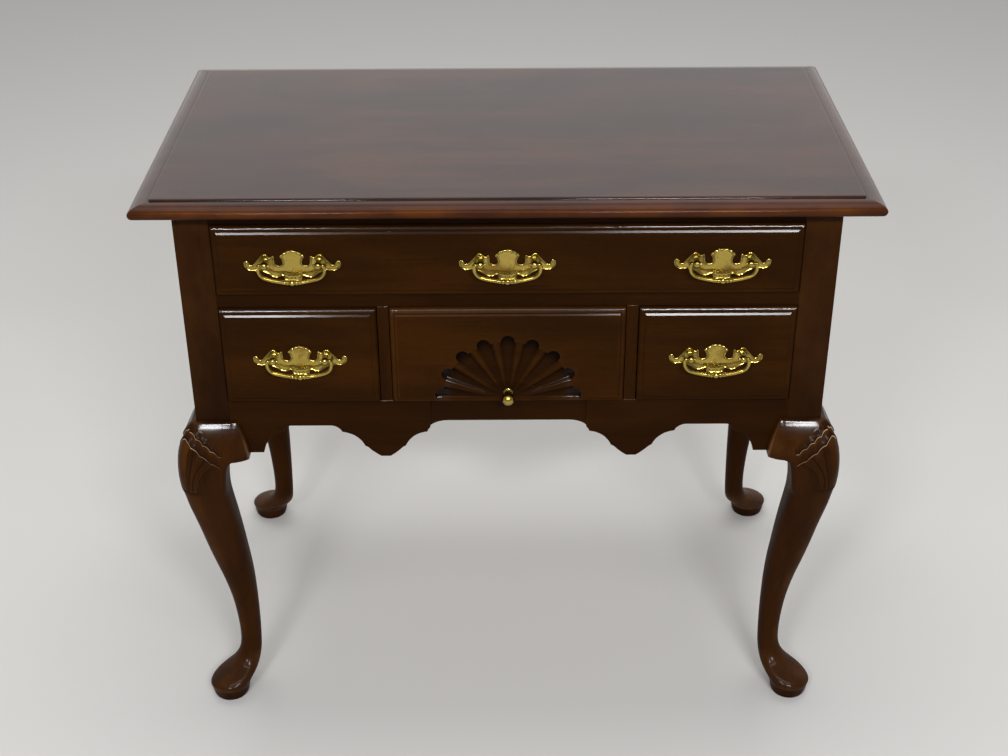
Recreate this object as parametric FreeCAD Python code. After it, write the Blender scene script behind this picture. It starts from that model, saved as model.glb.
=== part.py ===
import FreeCAD, Part

import math
import os

# A Queen Anne lowboy: a case of one wide drawer over three small ones, on four cabriole legs.
# Millimetres, +Z up, +X to the right of someone who faces the drawers, -Y towards them.
# The origin is on the floor, at the middle of the space that the whole piece takes up.

V = FreeCAD.Vector

# ---------------------------------------------------------------- driving dimensions

# top board and its moulded edge
TOP_WIDTH = 870.0
TOP_DEPTH = 483.0
HEIGHT = 762.0
TOP_THICKNESS = 18.0
OVERHANG = 41.0
BACK_OVERHANG = 3.0
EDGE_WIDTH = 22.0
EDGE_STEP = 2.4
EDGE_QUIRK = 2.5
EDGE_NOSE_DROP = 11.0
EDGE_UNDERCUT = 5.0

# case frame
POST = 43.0
SIDE_REVEAL = 1.0
SIDE_THICKNESS = 16.0
BACK_REVEAL = 3.0
BACK_THICKNESS = 12.0
RAIL_DEPTH = 60.0
FRAME_DEPTH = 22.0
DIVIDER_WIDTH = 14.0
DIVIDER_OFFSET = 151.5
APRON_THICKNESS = 20.0
TOP_RAIL_HEIGHT = 23.0
UPPER_OPENING = 93.0
MIDDLE_RAIL_HEIGHT = 17.0
LOWER_OPENING = 133.0

# lower edge of the apron and of the sides: falls are below the apron's top, rises above a drop's bottom
BRACKET_FALL = 77.0
BRACKET_LENGTH = 39.0
BRACKET_SWELL = (47.5, 57.5)
BRACKET_CUSP = (67.0, 46.0)
BRACKET_SPAN = 76.0
ARCH_FALL = 37.0
DROP_OFFSET = 156.5
DROP_SPAN = 68.5
DROP_FALL = 83.3
DROP_FLAT = 6.0
DROP_FIRST_LOBE = ((14.5, 6.2), (22.5, 13.8))
DROP_STEP = (26.0, 15.6)
DROP_SECOND_LOBE = ((34.2, 27.7), (54.0, 36.5))
DROP_TURN = 3.0
CENTRE_ARCH_FALL = 33.0
CENTRE_ARCH_HALF = 77.0
RECESS_HALF = 98.5
RECESS_DEPTH = 5.0

# cabriole legs: one row is (height, reach out past the case corner, reach in from it, squareness)
# and the heights stretch with the height of the knee's top
KNEE_FALL = 29.0
LEG_ROWS = (
    (449.0, 5.0, 41.0, 5.0),
    (446.0, 10.5, 41.0, 5.0),
    (438.0, 17.0, 41.0, 5.0),
    (420.0, 24.2, 41.0, 4.6),
    (400.0, 28.8, 40.5, 4.0),
    (382.0, 30.0, 37.5, 3.6),
    (360.0, 29.3, 35.6, 3.3),
    (325.0, 24.3, 38.0, 3.0),
    (285.0, 16.1, 42.3, 2.8),
    (240.0, 6.4, 46.2, 2.6),
    (192.0, -5.2, 48.9, 2.4),
    (150.0, -14.2, 49.3, 2.3),
    (112.0, -18.7, 48.8, 2.2),
    (82.0, -19.7, 47.8, 2.1),
    (62.0, -17.3, 46.3, 2.0),
    (50.0, -12.4, 44.6, 2.0),
    (41.0, -4.5, 42.8, 2.0),
    (35.0, 6.8, 40.6, 2.0),
    (29.5, 17.0, 36.8, 2.0),
)
LEG_SECTION_POINTS = 24
POST_STUMP = 57.0
FOOT_INSET = 3.0
FOOT_RIM_RADIUS = 27.5
FOOT_RIM_HEIGHT = 19.5
FOOT_WAIST_RADIUS = 24.6
FOOT_WAIST_HEIGHT = 6.0
FOOT_BASE_RADIUS = 21.5

# knee blocks: beside each knee, glued to the apron or to the side
# their rows are (fall below the top, how far proud of the apron), at the leg and at the far side
BLOCK_TOP_LENGTH = 8.5
BLOCK_TIP_LENGTH = 21.0
BLOCK_TIP_FALL = 59.0
BLOCK_LEG_FALL = 69.0
BLOCK_BACK = 18.0
BLOCK_LEG_ROWS = ((0.0, 6.0), (22.0, 19.5), (50.0, 25.0), (BLOCK_LEG_FALL, 21.0))
BLOCK_TIP_ROWS = ((0.0, 3.6), (23.6, 9.1), (50.2, 13.0), (BLOCK_TIP_FALL, 10.4))

# drawers
DRAWER_GAP = 1.0
DRAWER_PROUD = 8.0
FRONT_INSIDE = 14.0
LIP_EDGE = 2.2
LIP_ROUND = 5.0
LIP_PROUD = 6.3
LIP_FILLET = 1.6
DRAWER_SIDE = 11.0
DRAWER_BACK = 10.0
DRAWER_BACK_DROP = 8.0
SIDE_DROP = 4.0
BOTTOM_THICKNESS = 6.0
BOTTOM_RISE = 9.0
GROOVE = 5.0
TAIL_LENGTH = 9.0
TAIL_PITCH = 36.0
TAIL_SLOPE = 1.6
TAIL_SPACE = 4.0

# runners, guides and stops
RUNNER_GAP = 0.3
RUNNER_THICKNESS = 12.0
RUNNER_REACH = 24.0
GUIDE_HEIGHT = 24.0
STOP_THICKNESS = 12.0
STOP_HEIGHT = 20.0
STOP_WIDTH = 16.0

# glue blocks and screws under the top
GLUE_BLOCK = 18.0
GLUE_BLOCK_LENGTH = 46.0
GLUE_BLOCK_INSET = 70.0
SCREW_RADIUS = 2.0
SCREW_HEAD_RADIUS = 4.0
SCREW_HEAD = 2.5
SCREW_BITE = 9.0

# carved fan on the middle drawer
FAN_FLUTES = 9
FAN_FIRST_ANGLE = 5.5
FAN_RADIUS = 91.0
FAN_RISE = 4.0
FLUTE_START = 22.0
FLUTE_START_RADIUS = 2.8
FLUTE_END_RADIUS = 10.0
FLUTE_LIFT = 0.25
HUB_DISH_RADIUS = 180.0
HUB_DISH_DEPTH = 2.6
FAN_SILL_HEIGHT = 6.5
FAN_SILL_DEPTH = 4.0
FAN_SILL_HALF = 84.0

# brass knob under the fan
KNOB_RISE = 14.5
KNOB_COLLAR_RADIUS = 5.9
KNOB_COLLAR = 3.0
KNOB_NECK_FOOT_RADIUS = 5.1
KNOB_NECK_RADIUS = 3.2
KNOB_BALL_RADIUS = 8.0
KNOB_REACH = 20.0
KNOB_STUD_RADIUS = 2.4
KNOB_STUD = 10.0

# brass bail pulls
POST_SPACING = 63.5
PLATE_THICKNESS = 2.0
EYE_REACH = 13.5
EYE_RADIUS = 4.6
PULL_POST_RADIUS = 3.4
PULL_STUD_RADIUS = 2.2
PULL_NUT_RADIUS = 5.0
PULL_NUT_THICKNESS = 3.5
PIN_RADIUS = 1.9
PIN_FIT = 0.05
PIN_INNER = 6.4
BEAD_RADIUS = 3.0
BEAD_LENGTH = 3.0
BEAD_GAP = 0.3
BEAD_LAP = 0.1
BAIL_RADIUS = 2.2
BAIL_HALF = 39.3
BAIL_SHOULDER = 5.0
BAIL_DROP = 22.3
BAIL_CORNER = 13.0
SPINDLE_HALF = 12.0
SPINDLE_RADIUS = 3.7
PULL_RISE_UPPER = 48.0
PULL_RISE_LOWER = 68.5

# a backplate's outline, from the middle of the pull: the scalloped crest, then the right half
# from the end of the crest down to the middle of the bottom, as arcs (via, end) and a line (end)
CREST_RADIUS = 17.1
CREST_CENTRE = -3.4
CREST_SCALLOPS = 7
CREST_SCALLOP = 17.0
CREST_BULGE = 0.9
WING_STEPS = (
    ((12.4, 2.0), (11.5, -1.9)), ((16.6, -5.4), (20.9, -1.2)), ((21.1, 5.0),),
    ((22.3, 7.0), (24.2, 6.1)), ((26.3, 5.5), (28.4, 7.2)), ((32.2, 9.5), (36.5, 7.6)),
    ((46.0, -3.2),), ((48.9, -4.5), (51.2, -2.4)), ((55.0, 0.9), (57.6, -3.4)),
    ((54.9, -10.0), (47.3, -12.6)), ((41.5, -12.2), (36.0, -13.4)),
    ((30.6, -16.0), (26.0, -19.4)), ((20.7, -21.4), (15.0, -19.9)), ((12.6, -18.8),),
    ((10.9, -21.4), (10.4, -24.2)), ((5.6, -25.9), (0.0, -25.4)),
)

# ---------------------------------------------------------------- places worked out from them

KNEE_REACH = max(row[1] for row in LEG_ROWS)
TOTAL_DEPTH = TOP_DEPTH + KNEE_REACH - BACK_OVERHANG
FRONT_NOSE = -TOTAL_DEPTH / 2.0
CASE_FRONT = FRONT_NOSE + OVERHANG
CASE_BACK = FRONT_NOSE + TOP_DEPTH - BACK_OVERHANG
CASE_HALF = TOP_WIDTH / 2.0 - OVERHANG
CASE_TOP = HEIGHT - TOP_THICKNESS
OPENING_HALF = CASE_HALF - POST
SIDE_OUTER = CASE_HALF - SIDE_REVEAL
SIDE_INNER = SIDE_OUTER - SIDE_THICKNESS
BACK_INNER = CASE_BACK - BACK_REVEAL - BACK_THICKNESS
TOP_RAIL_BOTTOM = CASE_TOP - TOP_RAIL_HEIGHT
RAIL_TOP = TOP_RAIL_BOTTOM - UPPER_OPENING
RAIL_BOTTOM = RAIL_TOP - MIDDLE_RAIL_HEIGHT
APRON_TOP = RAIL_BOTTOM - LOWER_OPENING
BRACKET_FOOT = APRON_TOP - BRACKET_FALL
ARCH_TOP = APRON_TOP - ARCH_FALL
CENTRE_ARCH_TOP = APRON_TOP - CENTRE_ARCH_FALL
DROP_BOTTOM = APRON_TOP - DROP_FALL
KNEE_TOP = APRON_TOP - KNEE_FALL
BLOCK_TIP = KNEE_TOP - BLOCK_TIP_FALL
BLOCK_LEG_BOTTOM = KNEE_TOP - BLOCK_LEG_FALL
DRAWER_FACE = CASE_FRONT - DRAWER_PROUD
DRAWER_INSIDE = CASE_FRONT + FRONT_INSIDE
DRAWER_END = BACK_INNER - STOP_THICKNESS - RUNNER_GAP
POSTS_BEHIND = CASE_BACK - POST

nodes = {}


# ---------------------------------------------------------------- helpers

def box(x0, x1, y0, y1, z0, z1):
    return Part.makeBox(x1 - x0, y1 - y0, z1 - z0, V(x0, y0, z0))


def rod(radius, start, end):
    way = end - start
    return Part.makeCylinder(radius, way.Length, start, way)


def joined(shapes):
    whole = shapes[0]
    for shape in shapes[1:]:
        whole = whole.fuse(shape)
    return whole.removeSplitter()


def outline(place, start, steps):
    """A closed wire. A step is (end) for a line, (via, end) for an arc, (pull, pull, end) for a curve."""
    edges = []
    here = start
    for step in steps:
        points = [place(*here)] + [place(*point) for point in step]
        if len(points) == 2:
            edges.append(Part.LineSegment(*points).toShape())
        elif len(points) == 3:
            edges.append(Part.Arc(*points).toShape())
        else:
            curve = Part.BezierCurve()
            curve.setPoles(points)
            edges.append(curve.toShape())
        here = step[-1]
    if place(*here).distanceToPoint(place(*start)) > 1e-6:
        edges.append(Part.LineSegment(place(*here), place(*start)).toShape())
    return Part.Wire(edges)


def slab(wire, way):
    return Part.Face(wire).extrude(way)


def quarter(start, corner, end):
    """The two pulls and the end of a quarter-round from start to end that heads for a corner."""
    ease = 0.5523
    first = tuple(a + (c - a) * ease for a, c in zip(start, corner))
    second = tuple(b + (c - b) * ease for b, c in zip(end, corner))
    return (first, second, end)


def mirrored_x(shape):
    return shape.mirror(V(0, 0, 0), V(1, 0, 0))


def mirrored_case(shape):
    """The same piece at the back of the case."""
    return shape.mirror(V(0, (CASE_FRONT + CASE_BACK) / 2.0, 0), V(0, 1, 0))


def both_sides(shape):
    return [shape, mirrored_x(shape)]


# ---------------------------------------------------------------- top board

def edge_profile(place, low, high):
    """The board's section from one moulded edge to the other."""
    shelf = HEIGHT - EDGE_STEP
    nose = HEIGHT - EDGE_NOSE_DROP
    round_start = EDGE_WIDTH - EDGE_QUIRK
    steps = [((high - EDGE_WIDTH, HEIGHT),), ((high - EDGE_WIDTH, shelf),), ((high - round_start, shelf),)]
    steps.append(quarter((high - round_start, shelf), (high, shelf), (high, nose)))
    steps.append(quarter((high, nose), (high, CASE_TOP), (high - EDGE_UNDERCUT, CASE_TOP)))
    steps.append(((low + EDGE_UNDERCUT, CASE_TOP),))
    steps.append(quarter((low + EDGE_UNDERCUT, CASE_TOP), (low, CASE_TOP), (low, nose)))
    steps.append(quarter((low, nose), (low, shelf), (low + round_start, shelf)))
    steps.append(((low + EDGE_WIDTH, shelf),))
    return outline(place, (low + EDGE_WIDTH, HEIGHT), steps)


def top_board():
    back = FRONT_NOSE + TOP_DEPTH
    along = slab(edge_profile(lambda s, z: V(-TOP_WIDTH, s, z), FRONT_NOSE, back), V(2 * TOP_WIDTH, 0, 0))
    across = slab(edge_profile(lambda s, z: V(s, -TOP_DEPTH, z), -TOP_WIDTH / 2, TOP_WIDTH / 2),
                  V(0, 2 * TOP_DEPTH, 0))
    board = along.common(across)
    return board.cut(joined([screw for _, screw in top_fixings()]))


# ---------------------------------------------------------------- legs

def leg_section(height, out, inward, squareness):
    """A rounded square across the leg: a circle at squareness 2, squarer above that."""
    half = (out + inward) / 2.0
    middle = (inward - out) / 2.0
    points = []
    for step in range(LEG_SECTION_POINTS):
        angle = 2.0 * math.pi * step / LEG_SECTION_POINTS
        across = abs(math.cos(angle)) ** squareness + abs(math.sin(angle)) ** squareness
        radius = half / across ** (1.0 / squareness)
        points.append(V(middle + radius * math.cos(angle), middle + radius * math.sin(angle), height))
    curve = Part.BSplineCurve()
    curve.interpolate(Points=points, PeriodicFlag=True)
    return Part.Wire([curve.toShape()])


def foot_rows():
    rows = []
    for height, radius in ((FOOT_RIM_HEIGHT, FOOT_RIM_RADIUS), (FOOT_WAIST_HEIGHT, FOOT_WAIST_RADIUS),
                           (0.0, FOOT_BASE_RADIUS)):
        rows.append((height, radius - FOOT_INSET, radius + FOOT_INSET, 2.0))
    return rows


def leg_at_corner():
    """The leg whose case corner is at x = 0, y = 0, reaching in towards +X and +Y."""
    stretch = KNEE_TOP / LEG_ROWS[0][0]
    sections = [leg_section(row[0] * stretch, *row[1:]) for row in LEG_ROWS]
    sections += [leg_section(*row) for row in foot_rows()]
    cabriole = Part.makeLoft(sections, True, False)
    post = box(0, POST, 0, POST, KNEE_TOP - POST_STUMP, CASE_TOP)
    return joined([post, cabriole])


def add_legs():
    front_left = leg_at_corner()
    front_left.translate(V(-CASE_HALF, CASE_FRONT, 0))
    back_left = mirrored_case(front_left)
    nodes["leg_front_left"] = front_left
    nodes["leg_front_right"] = mirrored_x(front_left)
    nodes["leg_back_left"] = back_left
    nodes["leg_back_right"] = mirrored_x(back_left)


# ---------------------------------------------------------------- knee blocks

def knee_block(hanger_bottom):
    """A block along +X from the leg plane x = 0, proud of the plane y = 0 towards -Y."""
    leg_side = [(0.0, -reach, KNEE_TOP - fall) for fall, reach in BLOCK_LEG_ROWS]
    leg_side = [(0.0, 0.0, KNEE_TOP)] + leg_side + [(0.0, 0.0, BLOCK_LEG_BOTTOM)]

    def tip(fall, reach):
        length = BLOCK_TOP_LENGTH + (BLOCK_TIP_LENGTH - BLOCK_TOP_LENGTH) * (fall / BLOCK_TIP_FALL) ** 2
        return (length, -reach, KNEE_TOP - fall)

    far_side = [tip(0.0, 0.0)] + [tip(*row) for row in BLOCK_TIP_ROWS] + [tip(BLOCK_TIP_FALL, 0.0)]
    faces = [Part.Face(Part.makePolygon([V(*p) for p in leg_side + leg_side[:1]]))]
    count = len(leg_side)
    for k in range(count):
        a, b = V(*leg_side[k]), V(*leg_side[(k + 1) % count])
        c, d = V(*far_side[(k + 1) % count]), V(*far_side[k])
        for triangle in ((a, b, c), (a, c, d)):
            faces.append(Part.Face(Part.makePolygon(list(triangle) + [triangle[0]])))
    for k in range(1, count - 1):
        a, b, c = V(*far_side[0]), V(*far_side[k]), V(*far_side[k + 1])
        faces.append(Part.Face(Part.makePolygon([a, b, c, a])))
    shell = Part.Shell(faces)
    shell.sewShape()
    block = Part.Solid(shell)
    if block.Volume < 0:
        block.reverse()
    under = outline(lambda x, z: V(x, 0, z), (0.0, hanger_bottom),
                    [((BLOCK_TOP_LENGTH, hanger_bottom),),
                     ((BLOCK_TIP_LENGTH, BLOCK_TIP),), ((0.0, BLOCK_LEG_BOTTOM),)])
    return joined([block, slab(under, V(0, BLOCK_BACK, 0))])


def add_knee_blocks():
    leg = nodes["leg_front_left"]
    flat = knee_block(BRACKET_FOOT)
    turned = flat.mirror(V(0, 0, 0), V(1, -1, 0))
    front = flat.translated(V(-OPENING_HALF, CASE_FRONT, 0)).cut(leg)
    side = turned.translated(V(-SIDE_OUTER, CASE_FRONT + POST, 0)).cut(leg)
    nodes["knee_block_front_left"] = front
    nodes["knee_block_front_right"] = mirrored_x(front)
    nodes["knee_block_side_front_left"] = side
    nodes["knee_block_side_front_right"] = mirrored_x(side)
    nodes["knee_block_side_back_left"] = mirrored_case(side)
    nodes["knee_block_side_back_right"] = mirrored_x(mirrored_case(side))


# ---------------------------------------------------------------- case

def bracket_steps(end, sign):
    """From the foot of a bracket beside a post, at `end`, up to the flat of the arch."""
    def at(along, fall):
        return (end + sign * along, APRON_TOP - fall)
    cusp, top = at(*BRACKET_CUSP), at(BRACKET_SPAN, ARCH_FALL)
    return [(at(BRACKET_LENGTH, BRACKET_FALL),), (at(*BRACKET_SWELL), cusp),
            quarter(cusp, (cusp[0], top[1]), top)]


def drop_steps(middle, sign, arch_end, arch_top):
    """From the flat bottom of a drop, outwards and up over two lobes to an arch's flat."""
    def at(along, rise):
        return (middle + sign * along, DROP_BOTTOM + rise)
    first = tuple(at(*point) for point in DROP_FIRST_LOBE)
    second = tuple(at(*point) for point in DROP_SECOND_LOBE)
    lobe = second[-1]
    return [(at(DROP_FLAT, 0.0),), first, (at(*DROP_STEP),), second,
            quarter(lobe, (lobe[0] + sign * DROP_TURN, arch_top), (arch_end, arch_top))]


def reversed_steps(start, steps):
    """The same line walked the other way: its start and its steps."""
    points = [start]
    for step in steps:
        points.append(step[-1])
    back = []
    for k in range(len(steps) - 1, -1, -1):
        back.append(tuple(reversed(steps[k][:-1])) + (points[k],))
    return points[-1], back


def apron():
    """The shaped board under the small drawers, with its two drops and its sunk middle."""
    left_end = -OPENING_HALF
    outer_arch = -DROP_OFFSET - DROP_SPAN
    steps = [((left_end, BRACKET_FOOT),)] + bracket_steps(left_end, 1)
    steps.append(((outer_arch, ARCH_TOP),))
    drop_middle = (-DROP_OFFSET, DROP_BOTTOM)
    _, down = reversed_steps(drop_middle, drop_steps(-DROP_OFFSET, -1, outer_arch, ARCH_TOP))
    steps += down
    steps += drop_steps(-DROP_OFFSET, 1, -CENTRE_ARCH_HALF, CENTRE_ARCH_TOP)
    steps.append(((0.0, CENTRE_ARCH_TOP),))
    steps.append(((0.0, APRON_TOP),))
    wire = outline(lambda x, z: V(x, CASE_FRONT, z), (left_end, APRON_TOP), steps)
    half = slab(wire, V(0, APRON_THICKNESS, 0))
    board = joined([half, mirrored_x(half)])
    sunk = box(-RECESS_HALF, RECESS_HALF, CASE_FRONT - 1, CASE_FRONT + RECESS_DEPTH, DROP_BOTTOM, HEIGHT)
    return board.cut(sunk)


def side_panel():
    """The left side, with a bracket at each post and one long arch between them."""
    front, back = CASE_FRONT + POST, CASE_BACK - POST
    steps = [((front, BRACKET_FOOT),)] + bracket_steps(front, 1)
    _, up_back = reversed_steps((back, BRACKET_FOOT), bracket_steps(back, -1))
    steps.append(((back - BRACKET_SPAN, ARCH_TOP),))
    steps += up_back
    steps.append(((back, CASE_TOP),))
    wire = outline(lambda y, z: V(-SIDE_OUTER, y, z), (front, CASE_TOP), steps)
    return slab(wire, V(SIDE_THICKNESS, 0, 0))


def add_case():
    nodes["side_panel_left"] = side_panel()
    nodes["side_panel_right"] = mirrored_x(side_panel())
    nodes["back_panel"] = box(-OPENING_HALF, OPENING_HALF, BACK_INNER, BACK_INNER + BACK_THICKNESS,
                              ARCH_TOP, CASE_TOP)
    nodes["top_rail"] = box(-OPENING_HALF, OPENING_HALF, CASE_FRONT, CASE_FRONT + FRAME_DEPTH,
                            TOP_RAIL_BOTTOM, CASE_TOP)
    nodes["middle_rail"] = box(-OPENING_HALF, OPENING_HALF, CASE_FRONT, CASE_FRONT + RAIL_DEPTH,
                               RAIL_BOTTOM, RAIL_TOP)
    divider = box(-DIVIDER_OFFSET - DIVIDER_WIDTH / 2, -DIVIDER_OFFSET + DIVIDER_WIDTH / 2,
                  CASE_FRONT, CASE_FRONT + FRAME_DEPTH, APRON_TOP, RAIL_BOTTOM)
    nodes["divider_left"] = divider
    nodes["divider_right"] = mirrored_x(divider)
    nodes["apron"] = apron()


# ---------------------------------------------------------------- runners, guides, stops

def side_runner(floor, front):
    """A ledge under a drawer's outer side, and the guide that fills out to the case side."""
    top = floor + DRAWER_GAP - RUNNER_GAP
    ledge = box(-SIDE_INNER, -OPENING_HALF + RUNNER_REACH, front, POSTS_BEHIND, top - RUNNER_THICKNESS, top)
    guide = box(-SIDE_INNER, -OPENING_HALF, CASE_FRONT + POST, POSTS_BEHIND, top, top + GUIDE_HEIGHT)
    runner = joined([ledge, guide])
    if front < CASE_FRONT + POST:
        runner = runner.cut(box(-CASE_HALF, -OPENING_HALF, CASE_FRONT, CASE_FRONT + POST, 0.0, CASE_TOP))
    return runner


def middle_runner():
    """The wide ledge between two small drawers, with the guide strip that parts them."""
    top = APRON_TOP + DRAWER_GAP - RUNNER_GAP
    half = DIVIDER_WIDTH / 2
    front = CASE_FRONT + APRON_THICKNESS
    ledge = box(-DIVIDER_OFFSET - half - RUNNER_REACH, -DIVIDER_OFFSET + half + RUNNER_REACH,
                front, BACK_INNER, top - RUNNER_THICKNESS, top)
    guide = box(-DIVIDER_OFFSET - half, -DIVIDER_OFFSET + half, CASE_FRONT + FRAME_DEPTH, BACK_INNER,
                top, top + GUIDE_HEIGHT)
    post_seat = box(-DIVIDER_OFFSET - half, -DIVIDER_OFFSET + half, front, CASE_FRONT + FRAME_DEPTH,
                    APRON_TOP, top)
    return joined([ledge, guide]).cut(post_seat)


def stop(inner_edge, sign, floor):
    top = floor + DRAWER_GAP - RUNNER_GAP
    near, far = sorted((inner_edge, inner_edge + sign * STOP_WIDTH))
    front = DRAWER_END + RUNNER_GAP
    return box(near, far, front, front + STOP_THICKNESS, top, top + STOP_HEIGHT)


def add_runners():
    upper = side_runner(RAIL_TOP, CASE_FRONT + RAIL_DEPTH)
    lower = side_runner(APRON_TOP, CASE_FRONT + APRON_THICKNESS)
    nodes["drawer_runners"] = Part.makeCompound(both_sides(upper) + both_sides(lower)
                                                + both_sides(middle_runner()))
    outer = -OPENING_HALF + DRAWER_GAP
    divider = DIVIDER_WIDTH / 2 + DRAWER_GAP
    stops = [stop(outer, 1, RAIL_TOP), stop(outer, 1, APRON_TOP),
             stop(-DIVIDER_OFFSET - divider, -1, APRON_TOP), stop(-DIVIDER_OFFSET + divider, 1, APRON_TOP)]
    nodes["drawer_stops"] = Part.makeCompound(stops + [mirrored_x(piece) for piece in stops])


def top_fixings():
    """Pairs of a glue block in the corner of the side and the top, and the screw up through it."""
    pairs = []
    depth = CASE_BACK - CASE_FRONT
    for along in (GLUE_BLOCK_INSET, depth / 2.0, depth - GLUE_BLOCK_INSET):
        y = CASE_FRONT + along
        x = -SIDE_INNER + GLUE_BLOCK / 2.0
        block = box(-SIDE_INNER, -SIDE_INNER + GLUE_BLOCK, y - GLUE_BLOCK_LENGTH / 2,
                    y + GLUE_BLOCK_LENGTH / 2, CASE_TOP - GLUE_BLOCK, CASE_TOP)
        low = CASE_TOP - GLUE_BLOCK
        head = rod(SCREW_HEAD_RADIUS, V(x, y, low), V(x, y, low + SCREW_HEAD))
        shank = rod(SCREW_RADIUS, V(x, y, low + SCREW_HEAD), V(x, y, CASE_TOP + SCREW_BITE))
        screw = joined([head, shank])
        block = block.cut(screw)
        pairs.append((block, screw))
        pairs.append((mirrored_x(block), mirrored_x(screw)))
    return pairs


def add_fixings():
    pairs = top_fixings()
    nodes["glue_blocks"] = Part.makeCompound([block for block, _ in pairs])
    nodes["top_screws"] = Part.makeCompound([screw for _, screw in pairs])


# ---------------------------------------------------------------- drawers

def front_profile(place, low, high):
    """A drawer front's section: a square back, and a lipped and moulded edge on each side of the face."""
    raised = LIP_ROUND + LIP_FILLET

    def edge(base, sign):
        return [((base, DRAWER_INSIDE),), ((base, CASE_FRONT - LIP_EDGE),),
                quarter((base, CASE_FRONT - LIP_EDGE), (base, CASE_FRONT - LIP_PROUD),
                        (base + sign * LIP_ROUND, CASE_FRONT - LIP_PROUD)),
                ((base + sign * raised, CASE_FRONT - LIP_PROUD),), ((base + sign * raised, DRAWER_FACE),)]

    first = edge(low, 1)
    last_start, last = reversed_steps((high, DRAWER_INSIDE), edge(high, -1)[1:])
    return outline(place, (low, DRAWER_INSIDE), first[1:] + [(last_start,)] + last)


def drawer_front(x0, x1, z0, z1):
    along = slab(front_profile(lambda s, y: V(x0, y, s), z0, z1), V(x1 - x0, 0, 0))
    upright = slab(front_profile(lambda s, y: V(s, y, z0), x0, x1), V(0, 0, z1 - z0))
    return along.common(upright)


def tail_solids(x0, x1, z0, z1):
    """The dovetails at the front end of one drawer side."""
    count = max(2, int(round((z1 - z0) / TAIL_PITCH)))
    pitch = (z1 - z0) / count
    tails = []
    for k in range(count):
        middle = z0 + pitch * (k + 0.5)
        half = pitch * 0.5 - TAIL_SPACE
        wire = outline(lambda y, z: V(x0, y, z), (DRAWER_INSIDE, middle - half + TAIL_SLOPE),
                       [((DRAWER_INSIDE - TAIL_LENGTH, middle - half),),
                        ((DRAWER_INSIDE - TAIL_LENGTH, middle + half),),
                        ((DRAWER_INSIDE, middle + half - TAIL_SLOPE),)])
        tails.append(slab(wire, V(x1 - x0, 0, 0)))
    return tails


def drawer(name, x0, x1, z0, z1, carve=None):
    """The five boards of one drawer, whose front fills x0..x1, z0..z1."""
    front = drawer_front(x0, x1, z0, z1)
    top = z1 - SIDE_DROP
    floor = z0 + BOTTOM_RISE
    bottom = box(x0 + DRAWER_SIDE - GROOVE, x1 - DRAWER_SIDE + GROOVE, DRAWER_INSIDE - GROOVE, DRAWER_END,
                 floor, floor + BOTTOM_THICKNESS)
    sides = {}
    for side, low, high in (("left", x0, x0 + DRAWER_SIDE), ("right", x1 - DRAWER_SIDE, x1)):
        tails = tail_solids(low, high, z0, top)
        board = box(low, high, DRAWER_INSIDE, DRAWER_END, z0, top)
        sides[side] = joined([board] + tails).cut(bottom)
        front = front.cut(Part.makeCompound(tails))
    front = front.cut(bottom)
    if carve:
        front = carve(front, z0)
    back = box(x0 + DRAWER_SIDE, x1 - DRAWER_SIDE, DRAWER_END - DRAWER_BACK, DRAWER_END,
               floor + BOTTOM_THICKNESS, top - DRAWER_BACK_DROP)
    nodes[name + "_drawer_front"] = front
    nodes[name + "_drawer_side_left"] = sides["left"]
    nodes[name + "_drawer_side_right"] = sides["right"]
    nodes[name + "_drawer_back"] = back
    nodes[name + "_drawer_bottom"] = bottom


def flute_cutter(start, end):
    """What one flute takes away: a cone that widens from start to end, with a round far end."""
    length = (end - start).Length
    slope = FLUTE_END_RADIUS * math.sqrt(0.5)
    half = outline(lambda along, out: V(out, 0, along), (0.0, 0.0),
                   [((0.0, FLUTE_START_RADIUS),), ((length, FLUTE_END_RADIUS),),
                    ((length + slope, slope), (length + FLUTE_END_RADIUS, 0.0))])
    cutter = Part.Face(half).revolve(V(0, 0, 0), V(0, 0, 1), 360)
    cutter.Placement = FreeCAD.Placement(start, FreeCAD.Rotation(V(0, 0, 1), end - start))
    return cutter


def hub_dish(z0):
    """The ball whose lower end makes the shallow hollow in the middle of the fan."""
    middle = V(0, DRAWER_FACE + HUB_DISH_DEPTH - HUB_DISH_RADIUS, z0 + FAN_RISE)
    return Part.makeSphere(HUB_DISH_RADIUS, middle)


def carved_fan(front, z0):
    """The half shell: flutes that fan out from a shallow hub at the bottom of the face."""
    hub = V(0, DRAWER_FACE, z0 + FAN_RISE)
    sweep = (180.0 - 2 * FAN_FIRST_ANGLE) / (FAN_FLUTES - 1)
    far = FAN_RADIUS - FLUTE_END_RADIUS
    for k in range(FAN_FLUTES):
        angle = math.radians(FAN_FIRST_ANGLE + sweep * k)
        way = V(math.cos(angle), 0, math.sin(angle))
        start = hub + way * FLUTE_START - V(0, FLUTE_START_RADIUS * FLUTE_LIFT, 0)
        end = hub + way * far - V(0, FLUTE_END_RADIUS * FLUTE_LIFT, 0)
        front = front.cut(flute_cutter(start, end))
    sill = box(-FAN_SILL_HALF, FAN_SILL_HALF, DRAWER_FACE - 1, DRAWER_FACE + FAN_SILL_DEPTH,
               z0 - 1, z0 + FAN_SILL_HEIGHT)
    stud = rod(KNOB_STUD_RADIUS, V(0, DRAWER_FACE, z0 + KNOB_RISE),
               V(0, DRAWER_FACE + HUB_DISH_DEPTH + KNOB_STUD, z0 + KNOB_RISE))
    return front.cut(hub_dish(z0)).cut(sill).cut(stud)


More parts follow.
